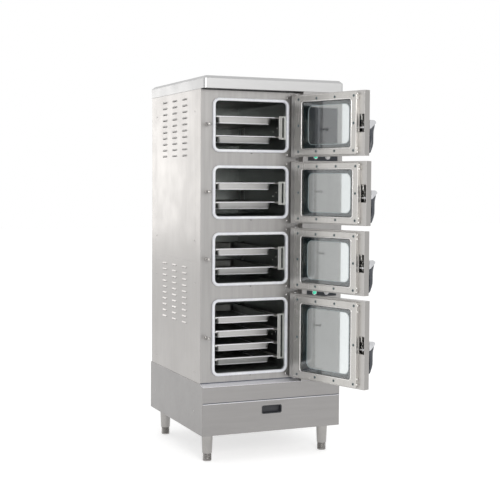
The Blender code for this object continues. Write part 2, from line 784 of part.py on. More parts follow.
def door_gasket(mouth):
    """Rubber ring round the mouth, with a root that reaches into it."""
    inner = grown(mouth_rect(mouth, 0.0), -GASKET_OVERHANG)
    corner = MOUTH_CORNER - GASKET_OVERHANG / 2
    root_out = GASKET_OVERHANG - GAP
    root_in = root_out - GASKET_ROOT_WIDTH
    profile = [
        (root_out, GASKET_ROOT_DEPTH),
        (root_in, GASKET_ROOT_DEPTH),
        (0.0, -GAP),
        (0.0, GASKET_FACE + GASKET_ROUNDING),
        (GASKET_ROUNDING, GASKET_FACE),
        (GASKET_WIDTH - GASKET_ROUNDING, GASKET_FACE),
        (GASKET_WIDTH, GASKET_FACE + GASKET_ROUNDING),
        (GASKET_WIDTH, -GAP),
        (root_out, -GAP),
    ]
    sections = [(rounded_outline(grown(inner, out), corner + out), depth) for out, depth in profile]
    return lofted("door_gasket", sections, upright, closed=True)


def rim_heights(chamber):
    """Return the height of each pan's hem above the chamber's centre, from the top down."""
    top = chamber.mouth / 2 - chamber.pan_drop
    return [top - chamber.pan_pitch * row for row in range(chamber.pans)]


def pan_rack(chamber):
    """Four uprights with a pair of rails for each pan, tied at the back and spaced off the liner."""
    heights = rim_heights(chamber)
    bottom = heights[-1] - RACK_BELOW_RIM
    top = heights[0] + RACK_ABOVE_RIM
    inner = RACK_HALF_WIDTH - UPRIGHT_WIDTH
    wall = MOUTH_WIDTH / 2 - GAP
    bar_start = PAN_FRONT + PAN_LENGTH + RACK_BAR_CLEARANCE
    bar_end = bar_start + UPRIGHT_THICKNESS
    shapes = []
    for side in (-1, 1):
        def strut(near, far, start, end, low, high):
            left, right = sorted((side * near, side * far))
            shapes.append(block(left, right, start, end, low, high))

        for height in heights:
            ledge = height - GAP
            web = inner - RAIL_SHEET / 2
            strut(inner - RAIL_REACH, inner + RAIL_SHEET, UPRIGHT_FRONT, bar_end, ledge - RAIL_SHEET, ledge)
            strut(web, inner + RAIL_SHEET, UPRIGHT_FRONT, bar_end, ledge - RAIL_SHEET, ledge + RAIL_WEB)
        for start in (UPRIGHT_FRONT, UPRIGHT_BACK):
            end = start + UPRIGHT_THICKNESS
            strut(inner, RACK_HALF_WIDTH, start, end, bottom, top)
            for low in (bottom, top - SPACER_HEIGHT):
                strut(RACK_HALF_WIDTH - RAIL_SHEET, wall, start, end, low, low + SPACER_HEIGHT)
    for height in (heights[0], heights[-1]):
        low = height - GAP - RAIL_SHEET
        span = inner + RAIL_SHEET
        shapes.append(block(-span, span, bar_start, bar_end, low, low + RACK_BAR_HEIGHT))
    return joined(shapes)


def pan():
    """Gastronorm pan whose hemmed rim lies on the rails. Its height is measured from under the hem."""
    half = PAN_WIDTH / 2
    rim = Rect(-half, half, PAN_FRONT, PAN_FRONT + PAN_LENGTH)
    hem = grown(rim, -PAN_SHEET)
    mouth = grown(rim, -PAN_RIM)
    floor = grown(mouth, -PAN_TAPER)
    inner_corner = PAN_CORNER - PAN_SHEET
    hem_corner = PAN_RIM_CORNER - PAN_SHEET
    sections = [
        (rounded_outline(grown(floor, -PAN_SHEET), inner_corner), PAN_SHEET - PAN_DEPTH),
        (rounded_outline(grown(mouth, -PAN_SHEET), inner_corner), PAN_HEM),
        (rounded_outline(rim, PAN_RIM_CORNER), PAN_HEM),
        (rounded_outline(rim, PAN_RIM_CORNER), 0.0),
        (rounded_outline(hem, hem_corner), 0.0),
        (rounded_outline(hem, hem_corner), PAN_HEM - PAN_SHEET),
        (rounded_outline(mouth, PAN_CORNER), PAN_HEM - PAN_SHEET),
        (rounded_outline(floor, PAN_CORNER), -PAN_DEPTH),
    ]
    return lofted("pan", sections, level)


# Doors, drawn closed with the hinge axis at the origin

def door_height(chamber):
    """Return the height of a chamber's door."""
    return chamber.mouth + 2 * DOOR_OVERLAP


def window_rect(chamber):
    """Return the rectangle of the clear window in a door."""
    half = door_height(chamber) / 2 - PLUG_MARGIN - chamber.window_margin
    return Rect(-WINDOW_END, -WINDOW_START, -half, half)


def glass_back():
    """Return how far behind the hinge axis the glass starts, once the frame's sheet covers it."""
    return DOOR_INNER + PLUG_PROUD - SHEET - GLASS_THICKNESS


def door_shell(chamber):
    """Hollow slab with a collar round the window, a latch slot, a spindle hole and pin holes."""
    half = door_height(chamber) / 2
    skin = DOOR_SHEET
    slab = block(-DOOR_REACH, DOOR_HEEL, -DOOR_OUTER, DOOR_INNER, -half, half)
    hollow = block(
        skin - DOOR_REACH, DOOR_HEEL - skin, skin - DOOR_OUTER, DOOR_INNER - skin, skin - half, half - skin
    )
    window = rounded_outline(window_rect(chamber), WINDOW_CORNER)
    rim = rounded_outline(grown(window_rect(chamber), WINDOW_COLLAR), WINDOW_CORNER + WINDOW_COLLAR)
    collar_end = glass_back() - GAP
    collar = lofted("collar", [(rim, -DOOR_OUTER), (rim, collar_end)], upright)
    slot_left = LATCH_SLOT_SHIFT - LATCH_REACH - LATCH_SLOT_WIDTH / 2
    slot_half = LATCH_SLOT_HEIGHT / 2
    tools = [
        lofted("window", [(window, -DOOR_OUTER - OVERRUN), (window, collar_end + OVERRUN)], upright),
        block(slot_left, slot_left + LATCH_SLOT_WIDTH, DOOR_INNER - skin - OVERRUN, DOOR_INNER + OVERRUN,
              -slot_half, slot_half),
        rod(-LATCH_REACH, -SPINDLE_DROP, SPINDLE_RADIUS + GAP, -DOOR_OUTER - OVERRUN, OVERRUN - DOOR_OUTER,
            upright),
    ]
    for sign in (-1, 1):
        start = sign * (half + OVERRUN)
        end = sign * (half - skin - OVERRUN)
        tools.append(rod(0.0, 0.0, PIN_RADIUS + GAP, start, end, level, SMALL_SIDES))
    return cut(joined([cut(slab, [hollow]), collar]), tools)


def glass_frame(chamber):
    """Pressed frame, proud of the door's inner face, that holds the glass and meets the gasket."""
    half = door_height(chamber) / 2 - PLUG_MARGIN
    outer = Rect(-PLUG_END, -PLUG_START, -half, half)
    window = window_rect(chamber)
    start = DOOR_INNER + GAP
    face = DOOR_INNER + GAP + PLUG_PROUD
    inner = grown(outer, -SHEET)
    inner_corner = PLUG_CORNER - SHEET
    sections = [
        (rounded_outline(outer, PLUG_CORNER), start),
        (rounded_outline(outer, PLUG_CORNER), face - PLUG_BEVEL),
        (rounded_outline(grown(outer, -PLUG_BEVEL), PLUG_CORNER), face),
        (rounded_outline(window, WINDOW_CORNER), face),
        (rounded_outline(window, WINDOW_CORNER), face - SHEET),
        (rounded_outline(grown(inner, -PLUG_BEVEL), inner_corner), face - SHEET),
        (rounded_outline(inner, inner_corner), face - SHEET - PLUG_BEVEL),
        (rounded_outline(inner, inner_corner), start),
    ]
    return lofted("glass_frame", sections, upright, closed=True)


def door_glass(chamber):
    """Pane between the shell's collar and the glass frame."""
    pane = rounded_outline(grown(window_rect(chamber), GLASS_LAP), WINDOW_CORNER + GLASS_LAP)
    start = glass_back()
    return lofted("door_glass", [(pane, start), (pane, start + GLASS_THICKNESS)], upright)


def door_handle():
    """Lever whose head stands out from the door, with a hanging grip, a spindle and its claw."""
    half = HEAD_WIDTH / 2
    foot = rounded_outline(Rect(-half, half, -HEAD_BELOW, HEAD_ABOVE), HEAD_BEVEL)
    crown_rect = grown(Rect(-half, half, HEAD_CROWN_RAISE, HEAD_ABOVE), -HEAD_BEVEL / 2)
    crown = rounded_outline(crown_rect, HEAD_BEVEL)
    cap = rounded_outline(grown(crown_rect, -HEAD_BEVEL), HEAD_BEVEL / 2)
    head_sections = [
        (foot, -GAP),
        (foot, -HEAD_SHOULDER),
        (crown, HEAD_BEVEL - HEAD_DEPTH),
        (cap, -HEAD_DEPTH),
    ]
    head = lofted("head", head_sections, upright)
    grip_sections = [
        (circle_outline(0.0, -GRIP_TOP_OUT, GRIP_TOP_RADIUS), GRIP_TOP_RAISE),
        (circle_outline(0.0, -GRIP_OUT, GRIP_RADIUS), -GRIP_NECK_DROP),
        (circle_outline(0.0, -GRIP_OUT, GRIP_RADIUS), GRIP_BEND_LENGTH - GRIP_LENGTH),
        (circle_outline(0.0, -GRIP_TIP_OUT, GRIP_TIP_RADIUS), -GRIP_LENGTH),
    ]
    grip = lofted("grip", grip_sections, level)
    stud_back = STUD_HEAD_LENGTH - STUD_REACH - HINGE_Y
    claw_start = DOOR_OUTER + stud_back + CLAW_CLEARANCE
    claw_end = claw_start + CLAW_THICKNESS
    spindle = rod(0.0, 0.0, SPINDLE_RADIUS, -HEAD_SHOULDER / 2, claw_end, upright)
    claw = block(0.0, CLAW_LENGTH, claw_start, claw_end, -CLAW_WIDTH / 2, CLAW_WIDTH / 2)
    return joined([head, grip, spindle, claw])


def hinge_strip(chambers):
    """Plate beside the gaskets, with an ear, a pin and a screw foot at each end of each door."""
    top = chambers[0].centre + door_height(chambers[0]) / 2
    bottom = chambers[-1].centre - door_height(chambers[-1]) / 2
    plate_middle = STRIP_FACE + STRIP_SHEET / 2
    shapes = [block(STRIP_START, STRIP_END, STRIP_FACE, -GAP, bottom - FOOT_ABOVE, top + FOOT_ABOVE)]
    for chamber in chambers:
        for sign in (-1, 1):
            edge = chamber.centre + sign * door_height(chamber) / 2
            ear_low, ear_high = sorted((edge + sign * GAP, edge + sign * (GAP + EAR_THICKNESS)))
            foot_low, foot_high = sorted((edge - sign * FOOT_BELOW, edge + sign * FOOT_ABOVE))
            pin_end = edge + sign * (GAP + EAR_THICKNESS / 2)
            foot_end = STRIP_START + FOOT_REACH
            shapes += [
                block(HINGE_X - EAR_HALF_WIDTH, HINGE_X + EAR_HALF_WIDTH, HINGE_Y - EAR_NOSE, plate_middle,
                      ear_low, ear_high),
                block(STRIP_START - FOOT_REACH, foot_end, STRIP_FACE, -GAP, foot_low, foot_high),
                rod(HINGE_X, HINGE_Y, PIN_RADIUS, edge - sign * PIN_LENGTH, pin_end, level, SMALL_SIDES),
            ]
    return joined(shapes)


def keeper_bar(chambers):
    """Bar behind the front panel, with a headed stud through it for each door."""
    front = SHEET + GAP
    back = front + KEEPER_BAR_THICKNESS
    half = KEEPER_BAR_WIDTH / 2
    bottom = chambers[-1].centre - KEEPER_BAR_MARGIN
    top = chambers[0].centre + KEEPER_BAR_MARGIN
    shapes = [block(KEEPER_X - half, KEEPER_X + half, front, back, bottom, top)]
    head_back = STUD_HEAD_LENGTH - STUD_REACH
    profile = [
        (STUD_NECK_RADIUS, front + KEEPER_BAR_THICKNESS / 2),
        (STUD_NECK_RADIUS, head_back),
        (STUD_HEAD_RADIUS, head_back),
        (STUD_HEAD_RADIUS, -STUD_REACH),
    ]
    for chamber in chambers:
        shapes.append(turned("stud", profile, KEEPER_X, chamber.centre + STUD_RAISE, upright, SMALL_SIDES))
    return joined(shapes)


# Controls

def control_board():
    """Backing plate behind the column's face, with two fascias that show through it."""
    front = -COLUMN_FRONT + COLUMN_SHEET + GAP
    back = front + BOARD_THICKNESS
    end = FASCIA_START + FASCIA_WIDTH
    bottom = LOWER_FASCIA_BOTTOM - BOARD_MARGIN
    top = UPPER_FASCIA_TOP + BOARD_MARGIN
    shapes = [block(FASCIA_START - BOARD_MARGIN, end + BOARD_MARGIN, front, back, bottom, top)]
    face = -COLUMN_FRONT - FASCIA_PROUD
    tools = []
    for low, high in FASCIAS:
        middle = front + BOARD_THICKNESS / 2
        shapes.append(block(FASCIA_START + GAP, end - GAP, face, middle, low + GAP, high - GAP))
        hole = BUTTON_RADIUS + GAP
        tools.append(rod(BUTTON_X, low + BUTTON_RAISE, hole, face - OVERRUN, back + OVERRUN, upright))
    return cut(joined(shapes), tools)


def push_button():
    """Round button with a collar behind the board."""
    face = -COLUMN_FRONT - FASCIA_PROUD - BUTTON_PROUD
    collar = -COLUMN_FRONT + COLUMN_SHEET + BOARD_THICKNESS + 2 * GAP
    edge = BUTTON_PROUD / 4
    profile = [
        (BUTTON_RADIUS - edge, face),
        (BUTTON_RADIUS, face + edge),
        (BUTTON_RADIUS, collar),
        (BUTTON_RADIUS + BUTTON_COLLAR, collar),
        (BUTTON_RADIUS + BUTTON_COLLAR, collar + BUTTON_COLLAR_LENGTH),
    ]
    return turned("push_button", profile, 0.0, 0.0, upright)


# Steam

def stub_places():
    """Return the places, across and up, of the water inlet and the drain."""
    height = BODY_BOTTOM + TANK_RAISE + STUB_RAISE
    return [(CHAMBER_X + side * STUB_SPACING / 2, height) for side in (-1, 1)]


def steam_generator(chambers):
    """Tank behind the chambers, with a riser, a nozzle for each liner, an inlet and a drain."""
    back = BODY_DEPTH - SHEET - TANK_BACK_GAP
    front = back - TANK_DEPTH
    middle = (front + back) / 2
    half = TANK_WIDTH / 2
    bottom = BODY_BOTTOM + TANK_RAISE
    top = bottom + TANK_HEIGHT
    liner_back = SHEET + GAP + LINER_DEPTH + GAP
    stub_end = BODY_DEPTH + STUB_REACH
    wall = TANK_SHEET
    left = CHAMBER_X - half
    right = CHAMBER_X + half
    outer = [block(left, right, front, back, bottom, top)]
    inner = [block(left + wall, right - wall, front + wall, back - wall, bottom + wall, top - wall)]
    riser_top = chambers[0].centre + RISER_RADIUS + RISER_WALL
    bore = RISER_RADIUS - RISER_WALL
    sides = SMALL_SIDES
    outer.append(rod(CHAMBER_X, middle, RISER_RADIUS, top - wall / 2, riser_top, level, sides))
    inner.append(rod(CHAMBER_X, middle, bore, top - 2 * wall, riser_top - RISER_WALL, level, sides))
    for chamber in chambers:
        nozzle = STEAM_HOLE_RADIUS + RISER_WALL
        end = middle if chamber.centre > top else front + wall / 2
        bore_end = middle if chamber.centre > top else front + 2 * wall
        mouth = liner_back - OVERRUN
        outer.append(rod(CHAMBER_X, chamber.centre, nozzle, liner_back, end, upright, sides))
        inner.append(rod(CHAMBER_X, chamber.centre, STEAM_HOLE_RADIUS, mouth, bore_end, upright, sides))
    for across, height in stub_places():
        stub_bore = STUB_RADIUS - RISER_WALL
        outer.append(rod(across, height, STUB_RADIUS, back - wall / 2, stub_end, upright, sides))
        inner.append(rod(across, height, stub_bore, back - 2 * wall, stub_end + OVERRUN, upright, sides))
    return carved(joined(outer), joined(inner), "DIFFERENCE")


# Assembly

def main():
    """Build the whole cabinet."""
    for item in list(bpy.data.objects):
        bpy.data.objects.remove(item, do_unlink=True)
    steel = material("brushed_steel", (0.62, 0.61, 0.58), 1.0, 0.35)
    polished = material("polished_steel", (0.70, 0.70, 0.70), 1.0, 0.18)
    rubber = material("gasket_rubber", (0.80, 0.84, 0.88), 0.0, 0.55)
    plastic = material("black_plastic", (0.02, 0.02, 0.022), 0.0, 0.40)
    white = material("white_plastic", (0.82, 0.80, 0.76), 0.0, 0.40)
    glass = material("dark_glass", (0.05, 0.08, 0.08), 0.0, 0.05, alpha=0.35)

    cabinet = guide("cabinet", (0.0, -ORIGIN_Y, 0.0))
    chambers = chamber_rows()
    seam = SIDE_SEAM
    piece("top_cover", top_cover(), steel, cabinet)
    piece("cabinet_frame", cabinet_frame(), steel, cabinet)
    piece("front_panel", front_panel(chambers), steel, cabinet)
    piece("control_cover", control_cover(), steel, cabinet)
    for side, side_name in ((-1, "left"), (1, "right")):
        upper = louvred_panel(seam + GAP / 2, BODY_TOP, side)
        lower = louvred_panel(BODY_BOTTOM, seam - GAP / 2, side)
        piece(f"side_panel_{side_name}_upper", upper, steel, cabinet)
        piece(f"side_panel_{side_name}_lower", lower, steel, cabinet)
    piece("back_panel", back_panel(), steel, cabinet)
    piece("base_skirt", base_skirt(), steel, cabinet)
    piece("base_drawer", base_drawer(), steel, cabinet)
    piece("flush_pull", flush_pull(), plastic, cabinet)
    leg_mesh = leg()
    for name, place in leg_places().items():
        piece(name, leg_mesh, polished, cabinet, place)

    liners = {mouth: chamber_liner(mouth) for mouth in (MOUTH_SHORT, MOUTH_TALL)}
    gaskets = {mouth: door_gasket(mouth) for mouth in (MOUTH_SHORT, MOUTH_TALL)}
    racks = {chamber.mouth: pan_rack(chamber) for chamber in chambers[-2:]}
    shells = {chamber.mouth: door_shell(chamber) for chamber in chambers[-2:]}
    frames = {chamber.mouth: glass_frame(chamber) for chamber in chambers[-2:]}
    panes = {chamber.mouth: door_glass(chamber) for chamber in chambers[-2:]}
    pan_mesh = pan()
    handle_mesh = door_handle()
    for chamber, degrees in zip(chambers, OPEN_DEGREES):
        number = chamber.number
        middle = (CHAMBER_X, 0.0, chamber.centre)
        piece(f"chamber_liner_{number}", liners[chamber.mouth], steel, cabinet, middle)
        piece(f"door_gasket_{number}", gaskets[chamber.mouth], rubber, cabinet, middle)
        piece(f"pan_rack_{number}", racks[chamber.mouth], steel, cabinet, middle)
        for row, height in enumerate(rim_heights(chamber), start=1):
            place = (CHAMBER_X, 0.0, chamber.centre + height)
            piece(f"pan_{number}_{row}", pan_mesh, polished, cabinet, place)
        hinge_place = (HINGE_X, HINGE_Y, chamber.centre)
        hinge = guide(f"hinge_axis_{number}", hinge_place, cabinet, math.radians(degrees))
        piece(f"door_shell_{number}", shells[chamber.mouth], steel, hinge)
        piece(f"glass_frame_{number}", frames[chamber.mouth], steel, hinge)
        piece(f"door_glass_{number}", panes[chamber.mouth], glass, hinge)
        spindle = guide(f"spindle_axis_{number}", (-LATCH_REACH, -DOOR_OUTER, -SPINDLE_DROP), hinge)
        piece(f"door_handle_{number}", handle_mesh, plastic, spindle)

    piece("hinge_strip", hinge_strip(chambers), steel, cabinet)
    piece("keeper_bar", keeper_bar(chambers), polished, cabinet)
    piece("control_board", control_board(), plastic, cabinet)
    piece("button_upper", push_button(), white, cabinet, (BUTTON_X, 0.0, UPPER_FASCIA_BOTTOM + BUTTON_RAISE))
    piece("button_lower", push_button(), white, cabinet, (BUTTON_X, 0.0, LOWER_FASCIA_BOTTOM + BUTTON_RAISE))
    piece("steam_generator", steam_generator(chambers), steel, cabinet)


main()
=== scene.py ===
import json
import math

import bmesh
import bpy
from mathutils import Matrix, Vector


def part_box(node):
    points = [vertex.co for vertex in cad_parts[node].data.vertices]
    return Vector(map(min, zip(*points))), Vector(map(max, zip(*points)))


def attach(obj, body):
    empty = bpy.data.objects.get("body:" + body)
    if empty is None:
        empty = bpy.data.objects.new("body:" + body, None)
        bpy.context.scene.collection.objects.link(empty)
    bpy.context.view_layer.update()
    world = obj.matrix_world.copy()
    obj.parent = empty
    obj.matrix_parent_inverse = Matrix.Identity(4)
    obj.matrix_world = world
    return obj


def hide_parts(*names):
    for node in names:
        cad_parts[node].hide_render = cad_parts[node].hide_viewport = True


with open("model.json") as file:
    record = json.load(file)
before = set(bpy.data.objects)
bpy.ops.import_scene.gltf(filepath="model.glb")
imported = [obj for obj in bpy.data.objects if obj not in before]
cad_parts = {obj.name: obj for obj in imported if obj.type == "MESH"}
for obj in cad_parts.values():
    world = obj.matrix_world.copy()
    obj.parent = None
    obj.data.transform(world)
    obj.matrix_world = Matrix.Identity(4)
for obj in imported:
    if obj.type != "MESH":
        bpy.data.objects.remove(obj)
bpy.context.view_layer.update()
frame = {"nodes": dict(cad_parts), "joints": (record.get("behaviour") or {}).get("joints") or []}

# Places taken from the frame
GAP = 0.0003
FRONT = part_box("front_panel")[0].y
CHAMBERS = (1, 2, 3, 4)
PANS = {1: 2, 2: 2, 3: 2, 4: 4}
JOINTS = {joint["name"]: joint for joint in frame["joints"]}
HINGES = {number: Vector(JOINTS[f"door_{number}_hinge"]["pos_m"]) for number in CHAMBERS}
OPEN_DEGREES = {1: 108.0, 2: 110.0, 3: 109.0, 4: 110.0}

# Door values, measured from the hinge axis
DOOR_INNER = 0.016
DOOR_OUTER = 0.017
DOOR_HALF = {1: 0.1485, 2: 0.1485, 3: 0.1485, 4: 0.2055}
FRAME_MARGIN = 0.006
WINDOW_MARGIN = {1: 0.033, 2: 0.033, 3: 0.033, 4: 0.037}
WINDOW_SIDES = (-0.390, -0.072)
WINDOW_CORNER = 0.010
PLUG_FACE = 0.0343
GLASS_FACE = 0.0325
LATCH_REACH = 0.448
SPINDLE_DROP = 0.020
FRAME_SCREW_REACHES = (0.049, 0.169, 0.289, 0.409)
FRAME_SCREW_MARGIN = 0.024
SIDE_SCREW_HEIGHTS = (0.132, 0.112, -0.114, -0.132)
SIDE_SCREW_REACH = 0.425
SIDE_SCREW_DEPTH = 0.0245

# Screw heads, as radius and height
SMALL_HEAD = (0.0038, 0.0018)
FRAME_HEAD = (0.0062, 0.0002)
SIDE_HEAD = (0.0048, 0.0042)
HINGE_HEAD = (0.0048, 0.0030)
CHAMBER_HEAD = (0.0036, 0.0022)
GASKET_PIN_HEAD = (0.0026, 0.0024)

# The pans' hem, and how meshes are finished
PAN_HEM = 0.005
SMOOTH_DEGREES = 38.0
WELD_DISTANCE = 1e-6


# Shapes

def rounded(left, right, low, high, radius, steps=8):
    """Return the points of a rectangle with rounded corners, counter-clockwise."""
    corners = (
        (right - radius, low + radius, -90.0),
        (right - radius, high - radius, 0.0),
        (left + radius, high - radius, 90.0),
        (left + radius, low + radius, 180.0),
    )
    points = []
    for across, up, start in corners:
        for step in range(steps + 1):
            turn = math.radians(start + 90.0 * step / steps)
            points.append((across + radius * math.cos(turn), up + radius * math.sin(turn)))
    return points


def inset(rect, amount):
    """Return a rectangle made smaller on every side."""
    left, right, low, high = rect
    return left + amount, right - amount, low + amount, high - amount


def circle(across, up, radius, sides=32):
    """Return the points of a circle, counter-clockwise."""
    turns = [2 * math.pi * side / sides for side in range(sides)]
    return [(across + radius * math.cos(turn), up + radius * math.sin(turn)) for turn in turns]


def upright(across, up, depth):
    """Place a drawn point in a wall that faces forward."""
    return Vector((across, depth, up))


def level(across, back, height):
    """Place a drawn point in a level plane."""
    return Vector((across, back, height))


def skin(shape, rings, closed=False):
    """Join rings of points with walls. Close both ends and return them, unless the rings go round."""
    for near, far in zip(rings, rings[1:] + rings[:1] if closed else rings[1:]):
        for side in range(len(near)):
            after = (side + 1) % len(near)
            shape.faces.new((near[side], near[after], far[after], far[side]))
    if closed:
        return []
    return [shape.faces.new(rings[0]), shape.faces.new(rings[-1])]


def loft(shape, sections, place=upright, closed=False):
    """Join outlines, each with its depth, into a body or a ring, and return the shape."""
    rings = [[shape.verts.new(place(u, v, depth)) for u, v in points] for points, depth in sections]
    skin(shape, rings, closed)
    return shape


def slab(shape, outline, start, end):
    """Add a plate with the same outline on both faces, and return the shape."""
    return loft(shape, [(outline, start), (outline, end)])


def border(outer, inner, outer_corner, inner_corner, start, end):
    """Return a thin flat ring between two rounded rectangles."""
    steps = 10
    sections = [(rounded(*outer, outer_corner, steps), depth) for depth in (start, end)]
    sections += [(rounded(*inner, inner_corner, steps), depth) for depth in (end, start)]
    return loft(bmesh.new(), sections, closed=True)


def lathe(shape, profile, place=Matrix(), sides=40):
    """Turn a profile of (radius, height) about Z, move it to its place and return the shape."""
    rings = []
    for radius, height in profile:
        points = circle(0, 0, radius, sides)
        rings.append([shape.verts.new(place @ Vector((x, y, height))) for x, y in points])
    skin(shape, rings)
    return shape


def tube(shape, path, radius, sides):
    """Sweep a circle along a path of points, and return the shape."""
    outline = circle(0, 0, radius, sides)
    rings = []
    side_way = None
    for index, point in enumerate(path):
        before = path[max(index - 1, 0)]
        after = path[min(index + 1, len(path) - 1)]
        ahead = (after - before).normalized()
        if side_way is None:
            side_way = ahead.orthogonal().normalized()
        side_way = (side_way - ahead * side_way.dot(ahead)).normalized()
        other = ahead.cross(side_way)
        rings.append([shape.verts.new(point + side_way * u + other * v) for u, v in outline])
    skin(shape, rings)
    return shape


def soften(mesh, smooth_degrees=SMOOTH_DEGREES):
    """Shade a mesh smooth across its shallow edges."""
    mesh.polygons.foreach_set("use_smooth", [True] * len(mesh.polygons))
    mesh.set_sharp_from_angle(angle=math.radians(smooth_degrees))


def finish_shape(shape, name, smooth_degrees=SMOOTH_DEGREES, weld=True):
    """Turn the drawn shape into a mesh with outward faces."""
    if weld:
        bmesh.ops.remove_doubles(shape, verts=shape.verts, dist=WELD_DISTANCE)
    bmesh.ops.recalc_face_normals(shape, faces=shape.faces)
    mesh = bpy.data.meshes.new(name)
    shape.to_mesh(mesh)
    shape.free()
    soften(mesh, smooth_degrees)
    return mesh


def add_piece(name, mesh, material, body="cabinet", place=Matrix(), nodes=()):
    """Add a piece to the scene with its material, on the body that it moves with."""
    mesh = mesh.copy()
    mesh.transform(place)
    item = bpy.data.objects.new(name, mesh)
    bpy.context.scene.collection.objects.link(item)
    if not mesh.materials:
        mesh.materials.append(material)
    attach(item, body)
    if nodes:
        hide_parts(*nodes)


def add_shape(name, shape, material, body="cabinet", place=Matrix(), nodes=(),
              smooth_degrees=SMOOTH_DEGREES):
    """Finish a drawn shape and add it as a piece."""
    add_piece(name, finish_shape(shape, name, smooth_degrees), material, body, place, nodes)


def facing(point, normal):
    """Return a place whose Z looks along a normal."""
    return Matrix.Translation(point) @ Vector(normal).to_track_quat("Z", "Y").to_matrix().to_4x4()


def middle(node):
    """Return the centre of a node's box."""
    low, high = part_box(node)
    return (low + high) / 2


# Materials

class Nodes:
    """A node tree, with short ways to add its nodes."""

    def __init__(self, owner):
        owner.use_nodes = True
        self.owner = owner
        self.tree = owner.node_tree
        self.shader = self.tree.nodes.get("Principled BSDF")

    def feed(self, node, inputs):
        """Set a node's inputs to values, or link them to the outputs of other nodes."""
        for key, value in inputs.items():
            if isinstance(value, bpy.types.NodeSocket):
                self.tree.links.new(value, node.inputs[key])
            else:
                node.inputs[key].default_value = value

    def add(self, kind, inputs=None, **settings):
        """Add a node with its settings and inputs, and return its outputs."""
        node = self.tree.nodes.new(kind)
        for key, value in settings.items():
            setattr(node, key, value)
        self.feed(node, inputs or {})
        return node.outputs

    def noise(self, scale, detail=2.0, rough=0.5, stretch=(1.0, 1.0, 1.0)):
        """Return the factor of a noise that lies in the piece's own coordinates."""
        where = self.add("ShaderNodeTexCoord")["Object"]
        sizes = self.add("ShaderNodeMapping", {"Vector": where, "Scale": stretch})["Vector"]
        values = {"Vector": sizes, "Scale": scale, "Detail": detail, "Roughness": rough}
        return self.add("ShaderNodeTexNoise", values)["Fac"]

    def spread(self, value, low, high, start=0.3, end=0.7):
        """Map a noise onto a range."""
        values = {"Value": value, "From Min": start, "From Max": end, "To Min": low, "To Max": high}
        return self.add("ShaderNodeMapRange", values)["Result"]

    def between(self, factor, first, second):
        """Mix two colours by a factor. The node's colour inputs are its seventh and eighth."""
        first, second = [(*tone, 1.0) if isinstance(tone, tuple) else tone for tone in (first, second)]
        return self.add("ShaderNodeMix", {0: factor, 6: first, 7: second}, data_type="RGBA")[2]

    def combined(self, first, second, operation="ADD"):
        """Combine two values."""
        return self.add("ShaderNodeMath", {0: first, 1: second}, operation=operation)["Value"]

    def along(self, first, second):
        """Return how far two directions agree."""
        return self.add("ShaderNodeVectorMath", {0: first, 1: second}, operation="DOT_PRODUCT")["Value"]

    def edges(self, radius):
        """Return a mask that is bright along edges, and the normal rounded over them."""
        bevel = self.add("ShaderNodeBevel", {"Radius": radius}, samples=4)["Normal"]
        true = self.add("ShaderNodeNewGeometry")["Normal"]
        return self.spread(self.along(bevel, true), 0.0, 1.0, 0.995, 0.80), bevel

    def one_side(self, way):
        """Return a mask of the faces that look one way in the piece's own space."""
        normal = self.add("ShaderNodeTexCoord")["Normal"]
        return self.spread(self.along(normal, way), 0.0, 1.0, 0.90, 0.97)

    def bump(self, height, strength, distance, normal=None):
        """Give the shader a fine relief."""
        values = {"Height": height, "Strength": strength, "Distance": distance}
        if normal is not None:
            values["Normal"] = normal
        self.feed(self.shader, {"Normal": self.add("ShaderNodeBump", values)["Normal"]})

    def surroundings(self):
        """Return 1 for the rays that show the surroundings, straight or by way of metal and glass."""
        rays = self.add("ShaderNodeLightPath")
        seen = self.combined(rays["Is Camera Ray"], rays["Is Glossy Ray"], "MAXIMUM")
        return self.combined(seen, rays["Is Transmission Ray"], "MAXIMUM")


def surface(name):
    """Return the nodes of a new material."""
    return Nodes(bpy.data.materials.new(name))


def shade(colour, factor, lift=0.0):
    """Return a lighter or darker colour."""
    return tuple(min(1.0, channel * factor + lift) for channel in colour)


def brushed(name, colour, roughness=0.34, along="Z", depth=0.05, smudge=0.03, edge=0.0016, metallic=1.0,
            way=None, side_shade=0.7):
    """Brushed sheet steel: fine grain, long faint bands, smears of handling, and edges made brighter, partly
    as wear and partly as a painted highlight; faces that look one given way can be made darker as painted
    shade.
    """
    nodes = surface(name)
    fine, wide = [tuple(share if axis == along else 1.0 for axis in "XYZ") for share in (0.008, 0.05)]
    grain = nodes.noise(1100.0, 2.0, 0.6, fine)
    bands = nodes.noise(60.0, 2.0, 0.5, wide)
    clouds = nodes.noise(2.6)
    wipes = nodes.noise(7.0, 3.0, 0.55)
    mask, normal = nodes.edges(edge)
    tone = nodes.combined(nodes.combined(nodes.combined(grain, 0.5, "MULTIPLY"), bands), clouds)
    tone = nodes.spread(tone, 0.0, 1.0, 0.95, 1.55)
    base = nodes.between(tone, shade(colour, 1.0 - depth), shade(colour, 1.0 + depth))
    # Faces that look the given way take a darker tone: painted shade on that side.
    if way:
        base = nodes.between(nodes.one_side(way), base, shade(colour, side_shade))
    # Edges are brightened in colour, partly for wear and partly as a painted highlight.
    edge_wear_and_highlight = nodes.combined(mask, 0.7, "MULTIPLY")
    shine = nodes.combined(nodes.spread(grain, roughness - 0.02, roughness + 0.03),
                           nodes.spread(wipes, -smudge, smudge, 0.35, 0.65))
    nodes.feed(nodes.shader, {
        "Base Color": nodes.between(edge_wear_and_highlight, base, shade(colour, 1.35)),
        "Roughness": nodes.combined(shine, nodes.combined(mask, -0.06, "MULTIPLY")),
        "Metallic": metallic,
    })
    nodes.bump(grain, 0.035, 0.0004, normal)
    return nodes.owner


